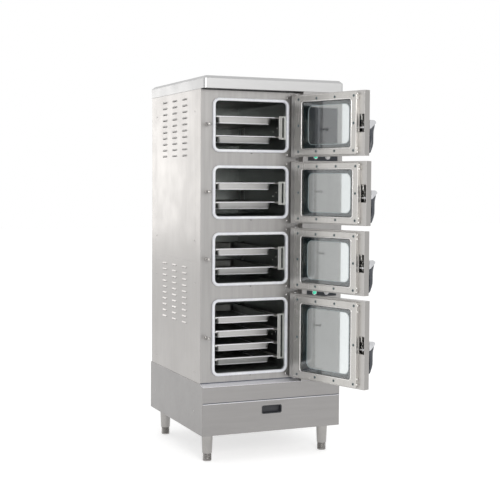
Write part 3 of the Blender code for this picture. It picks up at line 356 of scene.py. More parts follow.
def shaded_towards_back(name, front, back, start, end):
    """Brushed steel whose colour darkens towards the back: painted shade deeper in the chamber."""
    nodes = Nodes(brushed(name, front, 0.34, "Y"))
    where = nodes.add("ShaderNodeTexCoord")["Object"]
    # How far back the point lies blends the colour towards the dark back tone: painted shade.
    depth = nodes.spread(nodes.add("ShaderNodeSeparateXYZ", {"Vector": where})["Y"], 0.0, 1.0, start, end)
    base = nodes.shader.inputs["Base Color"].links[0].from_socket
    nodes.feed(nodes.shader, {"Base Color": nodes.between(depth, base, back)})
    return nodes.owner


def polished(name, colour, roughness=0.14):
    """Pressed or plated metal: nearly mirror bright, with faint orange peel, smears and fine scratches."""
    nodes = surface(name)
    peel = nodes.noise(420.0)
    smears = nodes.noise(14.0, 3.0, 0.55)
    scratches = nodes.noise(900.0, 2.0, 0.6, (1.0, 0.04, 0.3))
    mask, normal = nodes.edges(0.0008)
    shine = nodes.combined(nodes.spread(smears, roughness - 0.03, roughness + 0.06),
                           nodes.spread(scratches, 0.0, 0.05, 0.5, 0.8))
    nodes.feed(nodes.shader, {
        "Base Color": nodes.between(nodes.spread(smears, 0.0, 1.0), shade(colour, 0.95), shade(colour, 1.05)),
        "Roughness": nodes.combined(shine, nodes.combined(mask, 0.04, "MULTIPLY")),
        "Metallic": 1.0,
    })
    nodes.bump(peel, 0.02, 0.0003, normal)
    return nodes.owner


def moulded(name, colour, roughness, grain, strength, dust, coat=0.0):
    """Moulded plastic or rubber: fine texture, slight mottling, rubbed edges and a little dust."""
    nodes = surface(name)
    fine = nodes.noise(grain, 2.0, 0.6)
    mottle = nodes.noise(55.0, 4.0, 0.6)
    clouds = nodes.noise(9.0, 3.0, 0.6)
    mask, normal = nodes.edges(0.0006)
    tone = nodes.spread(nodes.combined(mottle, clouds), 0.0, 1.0, 0.75, 1.25)
    base = nodes.between(tone, shade(colour, 0.90), shade(colour, 1.06, dust * 0.12))
    rubbed = nodes.combined(mask, 0.5, "MULTIPLY")
    nodes.feed(nodes.shader, {
        "Base Color": nodes.between(rubbed, base, shade(colour, 1.15, 0.02)),
        "Roughness": nodes.spread(mottle, roughness - 0.06, roughness + 0.08),
        "Coat Weight": coat,
    })
    nodes.bump(fine, strength, 0.0003, normal)
    return nodes.owner


def pane(name, colour):
    """Clear tempered glass, with faint smears and a very slight waviness."""
    nodes = surface(name)
    smears = nodes.noise(16.0, 4.0, 0.65)
    waves = nodes.noise(7.0, 1.0)
    nodes.feed(nodes.shader, {
        "Base Color": nodes.between(nodes.spread(smears, 0.0, 1.0), shade(colour, 0.96), colour),
        "Roughness": nodes.spread(smears, 0.02, 0.07),
        "Transmission Weight": 1.0,
        "IOR": 1.95,
    })
    nodes.bump(waves, 0.04, 0.0005)
    return nodes.owner


def lens(name, colour, glow):
    """Ribbed signal lamp lens that glows faintly."""
    nodes = surface(name)
    ribs = nodes.noise(260.0, 1.0)
    base = nodes.between(nodes.spread(ribs, 0.0, 1.0), colour, shade(colour, 1.4, 0.05))
    nodes.feed(nodes.shader, {
        "Base Color": base,
        "Emission Color": base,
        "Emission Strength": glow,
        "Roughness": nodes.spread(ribs, 0.12, 0.24),
        "Coat Weight": 0.5,
    })
    return nodes.owner


LEFT = (-1.0, 0.0, 0.0)
DOOR_EDGE = (0.326, -0.945, 0.0)
# The cabinet's one stainless steel is written in several tones, each set to how bright that face shows under
# the light: the front panel and the base are darker shaded copies; the side panels, the lid, the doors, the
# glass frames and the chamber walls are lighter lit copies. This is painted light and shade. The lid's left
# side and the doors' free edge walls are darker again: painted shade on those sides.
STEEL = brushed("steel_front", (0.36, 0.352, 0.346), 0.35, "Z", 0.08, metallic=0.8)
STEEL_SIDE = brushed("steel_side", (0.42, 0.406, 0.394), 0.36, "Z", 0.04, 0.03)
STEEL_LID = brushed("steel_lid", (0.50, 0.50, 0.50), 0.36, "X", 0.03, way=LEFT, side_shade=0.84)
STEEL_BASE = brushed("steel_base", (0.31, 0.302, 0.298), 0.36, "X", 0.04)
STEEL_DOOR = brushed("steel_door", (0.55, 0.536, 0.52), 0.34, "Z", 0.05, 0.02, 0.0022, 0.7, DOOR_EDGE, 0.66)
STEEL_FRAME = brushed("steel_frame", (0.62, 0.605, 0.58), 0.24, "Z", 0.04, 0.02, 0.0026, 0.65)
STEEL_BEAD = polished("steel_bead", (0.80, 0.79, 0.77), 0.24)
STEEL_INNER = brushed("steel_inner", (0.40, 0.42, 0.41), 0.36, "Y", 0.08, 0.04)
# The rack's colour falls to near black towards the back of the chamber: painted shade.
STEEL_RACK = shaded_towards_back("steel_rack", (0.76, 0.75, 0.72), (0.10, 0.10, 0.095), 0.02, 0.30)
STEEL_PAN = polished("steel_pan", (0.46, 0.457, 0.45), 0.34)
# Near-white, less metallic finish for the pans' rim hem and lower bend: painted highlight.
PAN_HIGHLIGHT = brushed("pan_painted_highlight", (0.93, 0.93, 0.96), 0.40, "X", 0.02, metallic=0.45)
# Near-white, less metallic finish for the ledge slope and the drawer lip: painted highlight.
TRIM_HIGHLIGHT = brushed("trim_painted_highlight", (0.90, 0.90, 0.94), 0.42, "X", 0.02, metallic=0.4)
CHROME = polished("chrome", (0.60, 0.605, 0.62))
DULL_CHROME = polished("dull_chrome", (0.34, 0.34, 0.33), 0.30)
LEG_STEEL = polished("leg_steel", (0.36, 0.35, 0.34), 0.22)
SCREW = polished("screw_steel", (0.58, 0.57, 0.56), 0.20)
TEAL = moulded("blued_screw", (0.060, 0.105, 0.115), 0.30, 700.0, 0.05, 0.03, 0.3)
GASKET = moulded("gasket_silicone", (0.90, 0.92, 0.99), 0.36, 700.0, 0.05, 0.01)
BLACK = moulded("black_plastic", (0.022, 0.024, 0.030), 0.34, 1000.0, 0.10, 0.05)
GRIP = moulded("grip_plastic", (0.022, 0.028, 0.040), 0.24, 900.0, 0.05, 0.04, 0.5)
FASCIA = moulded("fascia_film", (0.004, 0.008, 0.016), 0.42, 1200.0, 0.03, 0.01)
WHITE = moulded("white_plastic", (0.88, 0.87, 0.85), 0.30, 800.0, 0.05, 0.02, 0.2)
DARK_TEAL_BORDER = moulded("dark_teal_border", (0.028, 0.055, 0.066), 0.14, 600.0, 0.02, 0.03, 0.4)
EDGE_LINE = moulded("ground_glass_edge", (0.80, 0.92, 0.95), 0.35, 700.0, 0.05, 0.02)
# Dark slate strips in the gaps under the front panel and above the drawer: painted shadow.
GAP_SHADOW = moulded("painted_gap_shadow", (0.09, 0.10, 0.13), 0.45, 800.0, 0.08, 0.03)
# Black for the glass seals and the gasket pins, and for dark pieces that are painted shade: the screws' cross
# recesses, the latch slot's back and the gap under the lid.
BLACK_SEAL_AND_SHADE = moulded("black_seal_and_painted_shade", (0.02, 0.02, 0.022), 0.5, 800.0, 0.10, 0.03)
GREEN = lens("green_lens", (0.05, 0.80, 0.45), 0.35)
GLASS = pane("door_glass", (0.76, 0.80, 0.80))


# Camera of the photograph

def photo_camera():
    """Put the camera where the photograph was taken from, as solved from its edges."""
    turn, tilt, roll = math.radians(22.59), math.radians(-3.16), math.radians(0.30)
    focal, middle_x, middle_y, size = 1103.49, 232.32, 242.35, 500.0
    place = (-2.23502, -5.01201, 1.35332)
    ahead = Vector((math.sin(turn) * math.cos(tilt), math.cos(turn) * math.cos(tilt), math.sin(tilt)))
    flat_right = Vector((math.cos(turn), -math.sin(turn), 0.0))
    flat_up = flat_right.cross(ahead)
    right = flat_right * math.cos(roll) + flat_up * math.sin(roll)
    up = flat_up * math.cos(roll) - flat_right * math.sin(roll)
    data = bpy.data.cameras.new("photo_camera")
    data.sensor_width = 36.0
    data.lens = focal / size * data.sensor_width
    data.shift_x = (size / 2 - middle_x) / size
    data.shift_y = (middle_y - size / 2) / size
    data.clip_start = 0.05
    data.clip_end = 200.0
    camera = bpy.data.objects.new("photo_camera", data)
    bpy.context.scene.collection.objects.link(camera)
    turned = Matrix((right, up, -ahead)).transposed().to_4x4()
    camera.matrix_world = Matrix.Translation(place) @ turned
    bpy.context.scene.camera = camera


# Studio

def studio():
    """Pale floor, white surroundings and large soft lamps."""
    world = bpy.data.worlds.new("studio")
    bpy.context.scene.world = world
    nodes = Nodes(world)
    nodes.tree.nodes.clear()
    light, backdrop = 0.60, 1.0
    white = (1.0, 1.0, 1.0, 1.0)
    plain, bright = [nodes.add("ShaderNodeBackground", {"Color": white, "Strength": strength})["Background"]
                     for strength in (light, backdrop)]
    mix = nodes.add("ShaderNodeMixShader", {"Fac": nodes.surroundings(), 1: plain, 2: bright})["Shader"]
    nodes.add("ShaderNodeOutputWorld", {"Surface": mix})

    lamp("front_lamp", (-0.7, -5.3, 2.5), (-0.1, 0.0, 1.1), 1.8, 85.0)
    lamp("right_lamp", (2.6, -4.4, 2.9), (0.0, 0.0, 1.2), 2.2, 8.0)
    lamp("back_left_lamp", (-1.45, 4.0, 1.62), (-0.37, 0.3, 1.3), 1.5, 12.0)
    floor()


def lamp(name, place, target, size, power):
    """Add a soft square lamp that looks at a target."""
    data = bpy.data.lights.new(name, "AREA")
    data.shape = "SQUARE"
    data.size = size
    data.energy = power
    data.color = (1.0, 0.985, 0.965)
    item = bpy.data.objects.new(name, data)
    bpy.context.scene.collection.objects.link(item)
    way = Vector(target) - Vector(place)
    item.matrix_world = Matrix.Translation(place) @ way.to_track_quat("-Z", "Y").to_matrix().to_4x4()
    item.visible_camera = False


def floor():
    """Add a pale floor that keeps the object's soft shadow."""
    nodes = surface("studio_floor")
    nodes.tree.nodes.clear()
    pale, glow, reach = (0.80, 0.80, 0.80, 1.0), 0.58, 25.0
    strength = nodes.combined(nodes.surroundings(), glow, "MULTIPLY")
    matt = nodes.add("ShaderNodeBsdfDiffuse", {"Color": pale})["BSDF"]
    shown = nodes.add("ShaderNodeEmission", {"Color": (1.0, 1.0, 1.0, 1.0), "Strength": strength})["Emission"]
    both = nodes.add("ShaderNodeAddShader", {0: matt, 1: shown})["Shader"]
    nodes.add("ShaderNodeOutputMaterial", {"Surface": both})
    shape = bmesh.new()
    corners = ((-reach, -reach), (reach, -reach), (reach, reach), (-reach, reach))
    shape.faces.new([shape.verts.new((x, y, 0.0)) for x, y in corners])
    mesh = bpy.data.meshes.new("studio_floor")
    shape.to_mesh(mesh)
    shape.free()
    mesh.materials.append(nodes.owner)
    item = bpy.data.objects.new("studio_floor", mesh)
    bpy.context.scene.collection.objects.link(item)


# Finishes of the CAD nodes that stay

def paint(material, *names):
    """Give CAD nodes a material."""
    for name in names:
        item = frame["nodes"][name]
        if not item.material_slots:
            item.data.materials.append(material)
        for holder in item.material_slots:
            holder.material = material


def paint_nodes():
    """Give every CAD node that stays its finish."""
    paint(STEEL, "front_panel", "control_cover", "hinge_strip")
    sides = [f"side_panel_{side}_{row}" for side in ("left", "right") for row in ("upper", "lower")]
    paint(STEEL_SIDE, "cabinet_frame", "back_panel", *sides)
    paint(STEEL_LID, "top_cover")
    paint(STEEL_BASE, "base_skirt", "base_drawer", "steam_generator")
    paint(FASCIA, "control_board")
    for number in CHAMBERS:
        paint(STEEL_INNER, f"chamber_liner_{number}")
        paint(STEEL_RACK, f"pan_rack_{number}")
        paint(STEEL_DOOR, f"door_shell_{number}")
        paint(STEEL_FRAME, f"glass_frame_{number}")
        paint(GLASS, f"door_glass_{number}")


# Legs

def legs():
    """Bullet legs with a rolled collar and a threaded levelling sleeve."""
    thread_start, thread_end, pitch = 0.0065, 0.034, 0.0039
    crest, root = 0.0221, 0.0200
    foot = [(0.0180, 0.0), (0.0208, 0.0012), (0.0218, 0.003), (0.0218, thread_start)]
    collar = [(0.0206, 0.0378), (0.0206, 0.0392), (0.0236, 0.0398), (0.0243, 0.0415), (0.0243, 0.0440)]
    bullet = [(0.0240, 0.0452), (0.0243, 0.0465), (0.0268, 0.1050), (0.0277, 0.1250), (0.0280, 0.1345),
              (0.0276, 0.1368), (0.0272, 0.1372)]
    thread = []
    height = thread_start
    while height < thread_end:
        thread += [(root, height + 0.0012), (root, height + 0.0019), (crest, height + 0.0032)]
        height += pitch
    for node in ("leg_front_left", "leg_front_right", "leg_back_left", "leg_back_right"):
        shape = lathe(bmesh.new(), foot + thread + collar + bullet, sides=56)
        centre = middle(node)
        place = Matrix.Translation((centre.x, centre.y, 0.0))
        add_shape(f"bullet_{node}", shape, LEG_STEEL, place=place, nodes=[node])


# Gaskets

def gaskets():
    """Soft silicone rings with a rounded face and a lower lip towards the chamber."""
    width, proud, corner = 0.020, 0.0123, 0.014
    turns = [math.radians(90.0 * step / 7) for step in range(1, 8)]
    profile = [(0.0117, 0.0100), (0.0085, 0.0100), (0.0062, 0.0040), (0.0058, -0.0003), (0.0058, -0.0060)]
    for turn in turns:
        profile.append((0.0108 - 0.0050 * math.cos(turn), 0.0063 - proud - 0.0063 * math.sin(turn)))
    for turn in turns:
        profile.append((0.0140 + 0.0060 * math.sin(turn), 0.0070 - proud - 0.0070 * math.cos(turn)))
    profile += [(width, -0.0030), (0.0194, -GAP), (0.0117, -GAP)]
    for number in CHAMBERS:
        node = f"door_gasket_{number}"
        low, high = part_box(node)
        half_x = (high.x - low.x) / 2 - width
        half_z = (high.z - low.z) / 2 - width
        mouth = (-half_x, half_x, -half_z, half_z)
        sections = [(rounded(*inset(mouth, -out), corner + out, 12), depth) for out, depth in profile]
        centre = middle(node)
        place = Matrix.Translation((centre.x, FRONT, centre.z))
        shape = loft(bmesh.new(), sections, closed=True)
        add_shape(f"gasket_ring_{number}", shape, GASKET, "cabinet", place, [node], 50.0)


# Pans

def pan_mesh():
    """Gastronorm pan with a turned-down rim, radiused corners and a drawn floor."""
    half, start, end = 0.1625, 0.060, 0.590
    sheet, deep = 0.001, 0.0325
    top = sheet - deep
    outlines = (
        (0.0400, 0.016, top), (0.0275, 0.018, top + 0.0001), (0.0245, 0.020, top + 0.0012),
        (0.0235, 0.021, top + 0.0034), (0.0185, 0.021, PAN_HEM - 0.0080), (0.0170, 0.0215, PAN_HEM - 0.0030),
        (0.0160, 0.022, PAN_HEM - 0.0008), (0.0142, 0.022, PAN_HEM), (0.0022, 0.012, PAN_HEM),
        (0.0007, 0.012, PAN_HEM - 0.0006), (0.0, 0.012, PAN_HEM - 0.0020), (0.0, 0.012, 0.0006),
        (0.0004, 0.0118, 0.0), (0.0010, 0.0112, 0.0004), (0.0012, 0.0110, PAN_HEM - 0.0022),
        (0.0024, 0.0120, PAN_HEM - 0.0011), (0.0135, 0.021, PAN_HEM - 0.0011),
        (0.0150, 0.022, PAN_HEM - 0.0022), (0.0166, 0.022, PAN_HEM - 0.0080), (0.0208, 0.022, 0.0060 - deep),
        (0.0218, 0.0215, 0.0026 - deep), (0.0242, 0.020, 0.0006 - deep), (0.0275, 0.018, -deep),
        (0.0400, 0.016, -deep),
    )
    rim = (-half, half, start, end)
    sections = [(rounded(*inset(rim, margin), corner, 9), height) for margin, corner, height in outlines]
    shape = loft(bmesh.new(), sections, level)
    # The rim's hem and the lower bend of the front and sides take the near-white finish: painted highlight
    # along those edges.
    lip, lip_low, bend, bend_high = 0.0015, 0.0002, 0.0275, 0.0050 - deep
    for face in shape.faces:
        reach = face.calc_center_median()
        in_rim = reach.z > lip_low and max(abs(reach.x) - half + lip, start + lip - reach.y) > 0.0
        in_bend = top < reach.z < bend_high and (abs(reach.x) > half - bend or reach.y < start + bend)
        if in_rim or in_bend:
            face.material_index = 1
    mesh = finish_shape(shape, "gastro_pan", 42.0)
    mesh.materials.append(STEEL_PAN)
    mesh.materials.append(PAN_HIGHLIGHT)
    return mesh


def pans():
    """Put a pan on each pair of rails."""
    mesh = pan_mesh()
    for number in CHAMBERS:
        for row in range(1, PANS[number] + 1):
            node = f"pan_{number}_{row}"
            place = Matrix.Translation((middle(node).x, FRONT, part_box(node)[1].z - PAN_HEM))
            add_piece(f"gastro_{node}", mesh, STEEL_PAN, node, place=place, nodes=[node])


# Doors

def screw(shape, place, radius, height):
    """Add a domed screw head to a shape, standing on its place, with a black cross that is painted shade of
    the cross recess.
    """
    dome = ((1.0, 0.0), (1.0, 0.35), (0.88, 0.72), (0.60, 0.95), (0.34, 1.0))
    lathe(shape, [(radius * wide, height * up) for wide, up in dome], place, 20)
    # The cross stands just proud of the dome and takes the black finish: painted shade of the recess.
    arm, thin, bottom, top = radius * 0.55, radius * 0.13, height * 0.5, height * 1.04
    for turn in (20.0, 110.0):
        local = place @ Matrix.Rotation(math.radians(turn), 4, "Z")
        corners = ((-arm, -thin), (arm, -thin), (arm, thin), (-arm, thin))
        rings = [[shape.verts.new(local @ Vector((x, y, z))) for x, y in corners] for z in (bottom, top)]
        for cap in skin(shape, rings):
            cap.material_index = 1


def screws(name, places, head=SMALL_HEAD, finish=SCREW, body="cabinet", place=Matrix()):
    """Add a group of equal screws as one piece."""
    shape = bmesh.new()
    for spot in places:
        screw(shape, spot, *head)
    mesh = finish_shape(shape, name, weld=False)
    mesh.materials.append(finish)
    # The second finish colours the crosses black: painted shade of the recesses.
    mesh.materials.append(BLACK_SEAL_AND_SHADE)
    add_piece(name, mesh, finish, body, place=place)


def door_screws(number, place):
    """Flush blued screws of the glass frame, and round-headed screws in its free side."""
    body = f"door_{number}"
    high = DOOR_HALF[number] - FRAME_SCREW_MARGIN
    spots = [(reach, sign * high) for reach in FRAME_SCREW_REACHES for sign in (-1, 1)]
    spots += [(FRAME_SCREW_REACHES[0], 0.0), (FRAME_SCREW_REACHES[-1], 0.0)]
    places = [facing((-reach, PLUG_FACE, up), (0, 1, 0)) for reach, up in spots]
    screws(f"frame_screws_{number}", places, FRAME_HEAD, TEAL, body, place)
    tall = DOOR_HALF[number] / DOOR_HALF[1]
    places = [facing((-SIDE_SCREW_REACH, SIDE_SCREW_DEPTH, up * tall), LEFT) for up in SIDE_SCREW_HEIGHTS]
    screws(f"side_screws_{number}", places, SIDE_HEAD, STEEL_BEAD, body, place)


def door_window(number, place):
    """Dark border of the outer window behind the pane, its ground line, the seal and the frame's bead."""
    body = f"door_{number}"
    half = DOOR_HALF[number] - FRAME_MARGIN - WINDOW_MARGIN[number]
    window = (*WINDOW_SIDES, -half, half)
    sill = 0.016
    clear = (-0.3693, -0.0986, sill - half, half - sill)
    corner, line, width = 0.030, 0.0030, 0.0018
    back = DOOR_INNER - 0.0010
    # A dark teal ring between the window and the clear opening, just inside the outer skin.
    shape = border(inset(window, GAP), clear, 0.0098, corner, back, back + 0.0008)
    add_shape(f"glass_border_{number}", shape, DARK_TEAL_BORDER, body, place)
    shape = border(clear, inset(clear, line), corner, corner - line, back - 0.0006, back + 0.0012)
    add_shape(f"window_line_{number}", shape, EDGE_LINE, body, place)
    shape = border(window, inset(window, width), WINDOW_CORNER, WINDOW_CORNER - width,
                   GLASS_FACE + 0.0001, PLUG_FACE - 0.0006)
    add_shape(f"glass_seal_{number}", shape, BLACK_SEAL_AND_SHADE, body, place)
    seat = PLUG_FACE + 0.0001
    profile = [(0.0004, seat)]
    for step in range(7):
        turn = math.radians(180.0 * step / 6)
        profile.append((0.0034 - 0.0028 * math.cos(turn), seat + 0.0016 * math.sin(turn)))
    sections = [(rounded(*inset(window, -out), WINDOW_CORNER + out), depth) for out, depth in profile]
    shape = loft(bmesh.new(), sections, closed=True)
    add_shape(f"frame_bead_{number}", shape, STEEL_BEAD, body, place=place, smooth_degrees=50.0)


def door_latch(number, place):
    """Dark sheet deep in the latch slot as painted shade, and the chrome catch plate, guide and spring behind
    the slot.
    """
    body = f"door_{number}"
    reach = -LATCH_REACH
    seat = reach + 0.0145

    def add_carved(name, shape, material):
        mesh = carved(finish_shape(shape, f"{name}_{number}"), spindle_hole())
        add_piece(f"{name}_{number}", mesh, material, body, place)

    # A black sheet deep behind the slot: painted shade in the slot.
    slot_shade = rounded(reach - 0.0105, reach + 0.0520, -0.0465, 0.0465, 0.003, 3)
    add_carved("latch_slot_shade", slab(bmesh.new(), slot_shade, -0.0157, -0.0147), BLACK_SEAL_AND_SHADE)
    catch = rounded(seat - 0.0060, seat + 0.0085, -0.0440, 0.0440, 0.002, 3)
    add_carved("catch_plate", slab(bmesh.new(), catch, -0.0012, 0.0), DULL_CHROME)
    arm = [(seat - 0.0020, -0.0350), (seat - 0.0060, -0.0370), (seat - 0.0080, -0.0300),
           (seat + 0.0045, -0.0040), (seat + 0.0090, -0.0080)]
    bar = rounded(seat - 0.0045, seat + 0.0095, 0.0015, 0.0080, 0.002, 3)
    strap = rounded(seat - 0.0060, seat + 0.0080, 0.0125, 0.0165, 0.001, 3)
    cap = rounded(seat - 0.0060, seat + 0.0060, 0.0330, 0.0405, 0.003, 4)
    shape = bmesh.new()
    for outline, end in ((arm, 0.0016), (bar, 0.0012), (strap, 0.0060), (cap, 0.0100)):
        slab(shape, outline, 0.0001, end)
    add_carved("latch_guide", shape, STEEL_BEAD)
    coil, wire, start, rise, steps, steps_a_turn = 0.0042, 0.0007, 0.0170, 0.0155, 108, 12
    path = []
    for step in range(steps + 1):
        turn = 2 * math.pi * step / steps_a_turn
        across, depth = seat - 0.0005 + coil * math.cos(turn), 0.0052 + coil * math.sin(turn)
        path.append(Vector((across, depth, start + rise * step / steps)))
    shape = tube(bmesh.new(), path, wire, 8)
    add_shape(f"latch_spring_{number}", shape, STEEL_BEAD, body, place=place, smooth_degrees=60.0)


def spindle_hole():
    """Return the tool that leaves room for the handle's spindle."""
    place = facing((-LATCH_REACH, 0.0, -SPINDLE_DROP), (0, 1, 0))
    return finish_shape(lathe(bmesh.new(), [(0.0066, -0.030), (0.0066, 0.030)], place, 24), "spindle_hole")


def carved(mesh, tool):
    """Return a mesh with a tool taken out of it."""
    item = bpy.data.objects.new("carved", mesh)
    cutter = bpy.data.objects.new("cutter", tool)
    for thing in (item, cutter):
        bpy.context.scene.collection.objects.link(thing)
    change = item.modifiers.new("cut", "BOOLEAN")
    change.operation = "DIFFERENCE"
    change.solver = "EXACT"
    change.object = cutter
    ready = item.evaluated_get(bpy.context.evaluated_depsgraph_get())
    result = bpy.data.meshes.new_from_object(ready)
    for thing in (item, cutter):
        bpy.data.objects.remove(thing)
    soften(result)
    return result


def handle_head():
    """Chrome nose that leans outward, its spindle and the claw behind it."""
    side = (
        (-GAP, 0.0345), (-0.0180, 0.0350), (-0.0300, 0.0345), (-0.0370, 0.0322), (-0.0418, 0.0282),
        (-0.0440, 0.0236), (-0.0430, 0.0210), (-0.0400, 0.0180), (-0.0330, 0.0125), (-0.0180, 0.0020),
        (-0.0080, -0.0055), (-GAP, -0.0070),
    )
    slices = ((0.0150, 0.90), (0.0142, 0.955), (0.0125, 0.99), (0.0100, 1.0))
    mid_depth, mid_up = -0.0200, 0.0140
    shape = bmesh.new()
    rings = []
    for across, share in [(-across, share) for across, share in slices] + list(slices[::-1]):
        ring = []
        for back, up in side:
            depth = -GAP if back == -GAP else min(-GAP, mid_depth + (back - mid_depth) * share)
            ring.append(shape.verts.new((across, depth, mid_up + (up - mid_up) * share)))
        rings.append(ring)
    skin(shape, rings)
    spindle = [(0.0064, -0.0002), (0.0064, 0.0), (0.0060, 0.0002), (0.0060, 0.0270), (0.0052, 0.0289)]
    lathe(shape, spindle, facing((0, 0, 0), (0, 1, 0)), 32)
    claw = [(0.0, -0.003), (0.024, -0.003), (0.026, -0.001), (0.026, 0.001), (0.024, 0.003), (0.0, 0.003)]
    slab(shape, claw, 0.0259, 0.0289)
    return finish_shape(shape, "handle_head", 44.0)


def handle_grip():
    """Black grip that leaves the nose, drops straight and ends in a rounded tip near the door."""
    stations = (
        (-0.0255, -0.0400, 0.0050, 0.0040), (-0.0235, -0.0385, 0.0096, 0.0068),
        (-0.0190, -0.0360, 0.0110, 0.0095), (-0.0120, -0.0315, 0.0117, 0.0138),
        (-0.0040, -0.0262, 0.0120, 0.0182), (0.0040, -0.0222, 0.0120, 0.0200),
        (0.0140, -0.0212, 0.0119, 0.0180), (0.0300, -0.0232, 0.0117, 0.0136),
        (0.0550, -0.0250, 0.0116, 0.0114), (0.0720, -0.0247, 0.0114, 0.0113),
        (0.0860, -0.0222, 0.0104, 0.0100), (0.1000, -0.0180, 0.0086, 0.0084),
        (0.1090, -0.0151, 0.0074, 0.0070), (0.1135, -0.0138, 0.0060, 0.0056),
        (0.1154, -0.0132, 0.0042, 0.0038), (0.1160, -0.0130, 0.0020, 0.0018),
    )
    shape = bmesh.new()
    rings = []
    for down, out, wide, deep in stations:
        ring = []
        for across, back in circle(0, 0, 1.0, 28):
            bulge = 1.0 - 0.08 * abs(across) ** 3
            ring.append(shape.verts.new((across * wide * bulge, out + back * deep, -down)))
        rings.append(ring)
    skin(shape, rings)
    return finish_shape(shape, "handle_grip", 50.0)


def doors():
    """Dress each door with its screws, window, latch and handle."""
    head = handle_head()
    grip = handle_grip()
    for number in CHAMBERS:
        turn = Matrix.Rotation(math.radians(OPEN_DEGREES[number]), 4, "Z")
        place = Matrix.Translation(HINGES[number]) @ turn
        door_screws(number, place)
        door_window(number, place)
        door_latch(number, place)
        body = f"handle_{number}"
        spindle = place @ Matrix.Translation((-LATCH_REACH, -DOOR_OUTER, -SPINDLE_DROP))
        add_piece(f"handle_head_{number}", head, CHROME, body, place=spindle, nodes=[f"door_handle_{number}"])
        add_piece(f"handle_grip_{number}", grip, GRIP, body, spindle)


# Front fittings

def keeper_studs():
    """Bar behind the front panel with round-headed studs."""
    low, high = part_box("keeper_bar")
    bar_start, bar_end, raised = 0.0018, 0.0048, 0.002
    collar = [(0.0092, 0.0), (0.0092, 0.0030), (0.0084, 0.0052), (0.0066, 0.0066), (0.0050, 0.0070)]
    head = [(0.0050, 0.0388), (0.0084, 0.0392), (0.0090, 0.0402), (0.0090, 0.0424), (0.0082, 0.0438),
            (0.0062, 0.0447), (0.0030, 0.0450)]
    bar = rounded(low.x, high.x, low.z, high.z, 0.004, 4)
    shape = slab(bmesh.new(), bar, FRONT + bar_start, FRONT + bar_end)
    for number in CHAMBERS:
        place = facing(((low.x + high.x) / 2, FRONT, HINGES[number].z + raised), (0, -1, 0))
        lathe(shape, collar + head, place, 36)
    add_shape("keeper_studs", shape, LEG_STEEL, nodes=["keeper_bar"])


def front_screws():
    """Screws of the hinge feet, the side panels, the chambers, the gaskets and the back panel."""
    strip_face, foot_margin = FRONT - 0.0020, 0.0105
    spots = []
    for number in CHAMBERS:
        offset = DOOR_HALF[number] - foot_margin
        for sign in (-1, 1):
            for across in (0.0875, 0.1435):
                spots.append(facing((across, strip_face, HINGES[number].z + sign * offset), (0, -1, 0)))
    screws("hinge_screws", spots, HINGE_HEAD)
    for side, corner, sign in (("left", 0, -1), ("right", 1, 1)):
        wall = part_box("cabinet_frame")[corner].x
        spots = [facing((wall, FRONT + depth, height), (sign, 0, 0))
                 for height in (1.687, 1.067, 0.8646, 0.430) for depth in (0.081, 0.643)]
        screws(f"side_screws_{side}", spots)
        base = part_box("base_skirt")[corner].x
        spots = [facing((base, FRONT + depth, 0.238), (sign, 0, 0)) for depth in (0.078, 0.655)]
        screws(f"base_screws_{side}", spots)
    centres = [middle(f"door_gasket_{number}") for number in CHAMBERS]
    spots = [facing((centre.x + 0.192, FRONT + depth, centre.z - drop), LEFT)
             for centre in centres for depth, drop in ((0.118, 0.003), (0.160, 0.020))]
    screws("chamber_screws", spots, CHAMBER_HEAD, STEEL_BEAD)
    spots = []
    for number, centre in zip(CHAMBERS, centres):
        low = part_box(f"door_gasket_{number}")[0].z
        spots.append(facing((centre.x + 0.003, FRONT, low - 0.0042), (0, -1, 0)))
    screws("gasket_pins", spots, GASKET_PIN_HEAD, BLACK_SEAL_AND_SHADE)
    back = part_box("back_panel")[1].y
    spots = [facing((across, back, height), (0, 1, 0))
             for across in (-0.345, 0.0, 0.345) for height in (0.40, 0.74, 1.08, 1.42, 1.77)]
    screws("back_screws", spots)


def base_lips():
    """Folded edges of the ledge and of the drawer front, made near white as a painted highlight, with the
    shadow gaps above them.
    """
    low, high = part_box("base_skirt")
    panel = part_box("front_panel")[0]
    top = panel.z - GAP
    fold = top - 0.010
    slope = [(FRONT - 0.0006, top + 0.0004), (low.y - 0.0005, fold + 0.0008), (low.y - 0.0012, fold),
             (low.y - 0.0012, fold - 0.0010), (low.y - 0.0002, fold - 0.0010),
             (low.y - 0.0002, fold - 0.0001), (FRONT - 0.0006, top - 0.0002)]
    shape = bmesh.new()
    skin(shape, [[shape.verts.new((across, back, up)) for back, up in slope]
                 for across in (low.x + 0.0008, high.x - 0.0008)])
    add_shape("ledge_trim", shape, TRIM_HIGHLIGHT, smooth_degrees=20.0)
    gap = rounded(panel.x + 0.001, 0.1485, panel.z + 0.0006, panel.z + 0.0046, 0.0008, 3)
    shape = slab(bmesh.new(), gap, FRONT - 0.0008, FRONT - 0.0001)
    add_shape("panel_gap_shadow", shape, GAP_SHADOW, "cabinet")
    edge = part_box("base_drawer")[1].z
    for name, body, start, end, material in (
            ("drawer_lip", "drawer", edge - 0.0030, edge - 0.0001, TRIM_HIGHLIGHT),
            ("drawer_gap_shadow", "cabinet", edge + 0.0005, edge + 0.0038, GAP_SHADOW)):
        outline = rounded(low.x + 0.0010, high.x - 0.0010, start, end, 0.0006, 3)
        add_shape(name, slab(bmesh.new(), outline, low.y - 0.0009, low.y - 0.0001), material, body)


def lid_gap_shadow():
    """Dark strip in the gap between the lid's front edge and the front panel: painted shadow."""
    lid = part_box("top_cover")[0]
    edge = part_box("cabinet_frame")[0].x
    outline = rounded(edge + 0.002, 0.149, lid.z - 0.0050, lid.z - 0.0004, 0.0012, 3)
    shape = slab(bmesh.new(), outline, FRONT - 0.0090, FRONT - 0.0002)
    add_shape("lid_gap_shadow", shape, BLACK_SEAL_AND_SHADE, "cabinet")


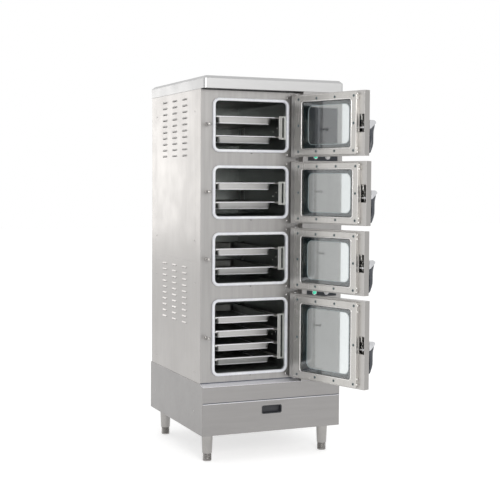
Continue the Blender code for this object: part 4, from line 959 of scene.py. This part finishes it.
def hinge_caps():
    """Domed caps on the ends of the hinge pins."""
    dome = [(0.0068, 0.0), (0.0068, 0.0010), (0.0060, 0.0022), (0.0042, 0.0031), (0.0018, 0.0034)]
    ear = 0.004
    shape = bmesh.new()
    for number in CHAMBERS:
        for sign in (-1, 1):
            end = HINGES[number] + Vector((0, 0, sign * (DOOR_HALF[number] + GAP + ear)))
            lathe(shape, dome, facing(end, (0, 0, sign)), 28)
    add_shape("hinge_caps", shape, CHROME)


def flush_pull():
    """Steel plate round a moulded cup with a soft rim and a recess."""
    low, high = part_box("flush_pull")
    hole = (low.x + 0.005, high.x - 0.013, low.z + 0.018, high.z - 0.014)
    plate = border((low.x, high.x, low.z, high.z), hole, 0.0095, 0.0040, low.y + 0.0005, low.y + 0.0014)
    add_shape("pull_plate", plate, STEEL_BASE, "drawer", nodes=["flush_pull"])
    cup = (low.x + 0.0005, high.x - 0.0085, low.z + 0.0132, high.z - 0.0093)
    outlines = (
        (0.0060, 0.0034, high.y - 0.0015), (0.0058, 0.0036, high.y - 0.0040),
        (0.0055, 0.0040, low.y + 0.0030), (0.0048, 0.0045, low.y + 0.0008), (0.0035, 0.0055, low.y),
        (0.0014, 0.0070, low.y),
        (0.0003, 0.0080, low.y + 0.0001), (0.0, 0.0085, low.y + 0.0003), (0.0, 0.0085, low.y + 0.0004),
        (0.0050, 0.0040, low.y + 0.0004), (0.0050, 0.0040, high.y),
    )
    sections = [(rounded(*inset(cup, margin), corner, 7), depth) for margin, corner, depth in outlines]
    add_shape("pull_cup", loft(bmesh.new(), sections), BLACK, "drawer")


def controls():
    """Round buttons with bezels and green lamps."""
    lamp_x, sides = 0.218, 44
    bezel = ((0.0114, 0.0), (0.0114, 0.0016), (0.0122, 0.0022), (0.0138, 0.0020), (0.0146, 0.0010),
             (0.0148, 0.0))
    lamp_ring = [(0.0130, 0.0), (0.0130, 0.0012), (0.0120, 0.0020), (0.0104, 0.0022), (0.0102, 0.0016)]
    lamp_dome = [(0.0098, 0.0014), (0.0098, 0.0030), (0.0090, 0.0044), (0.0070, 0.0054), (0.0040, 0.0060),
                 (0.0012, 0.0062)]
    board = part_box("control_board")[0].y
    for name in ("upper", "lower"):
        node = f"button_{name}"
        low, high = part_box(node)
        centre = middle(node)
        depth = high.y - low.y
        cap = [(0.0140, 0.0), (0.0140, 0.0019), (0.0109, 0.0020), (0.0109, depth - 0.0012),
               (0.0104, depth - 0.0003), (0.0096, depth), (0.0088, depth - 0.0001), (0.0060, depth - 0.0008),
               (0.0020, depth - 0.0011)]
        shape = lathe(bmesh.new(), cap, facing((centre.x, high.y, centre.z), (0, -1, 0)), sides)
        add_shape(f"{name}_push_cap", shape, WHITE, f"{name}_button", nodes=[node])
        rings = [(circle(centre.x, centre.z, radius, sides), board - proud) for radius, proud in bezel]
        add_shape(f"{name}_button_bezel", loft(bmesh.new(), rings, closed=True), CHROME)
        place = facing((lamp_x, board, centre.z), (0, -1, 0))
        add_shape(f"{name}_lamp_bezel", lathe(bmesh.new(), lamp_ring, place, sides), CHROME)
        dome = lathe(bmesh.new(), lamp_dome, place, sides)
        add_shape(f"{name}_lamp", dome, GREEN, "cabinet")


def water_fittings():
    """Hexagon nuts round the water inlet and the drain at the back."""
    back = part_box("back_panel")[1].y
    height, outer, inner, thick = 0.4533, 0.0155, 0.0103, 0.0052
    chambers_x, spacing = -0.1067, 0.045
    shape = bmesh.new()
    for across in (chambers_x - spacing, chambers_x + spacing):
        sections = [(circle(across, height, radius, 6), depth) for radius, depth in (
            (outer, back), (outer, back + thick), (inner, back + thick), (inner, back))]
        loft(shape, sections, closed=True)
    add_shape("water_fittings", shape, CHROME, smooth_degrees=20.0)


photo_camera()
studio()
paint_nodes()
legs()
gaskets()
pans()
doors()
keeper_studs()
front_screws()
base_lips()
lid_gap_shadow()
hinge_caps()
flush_pull()
controls()
water_fittings()

bpy.context.scene.view_settings.view_transform = "Standard"
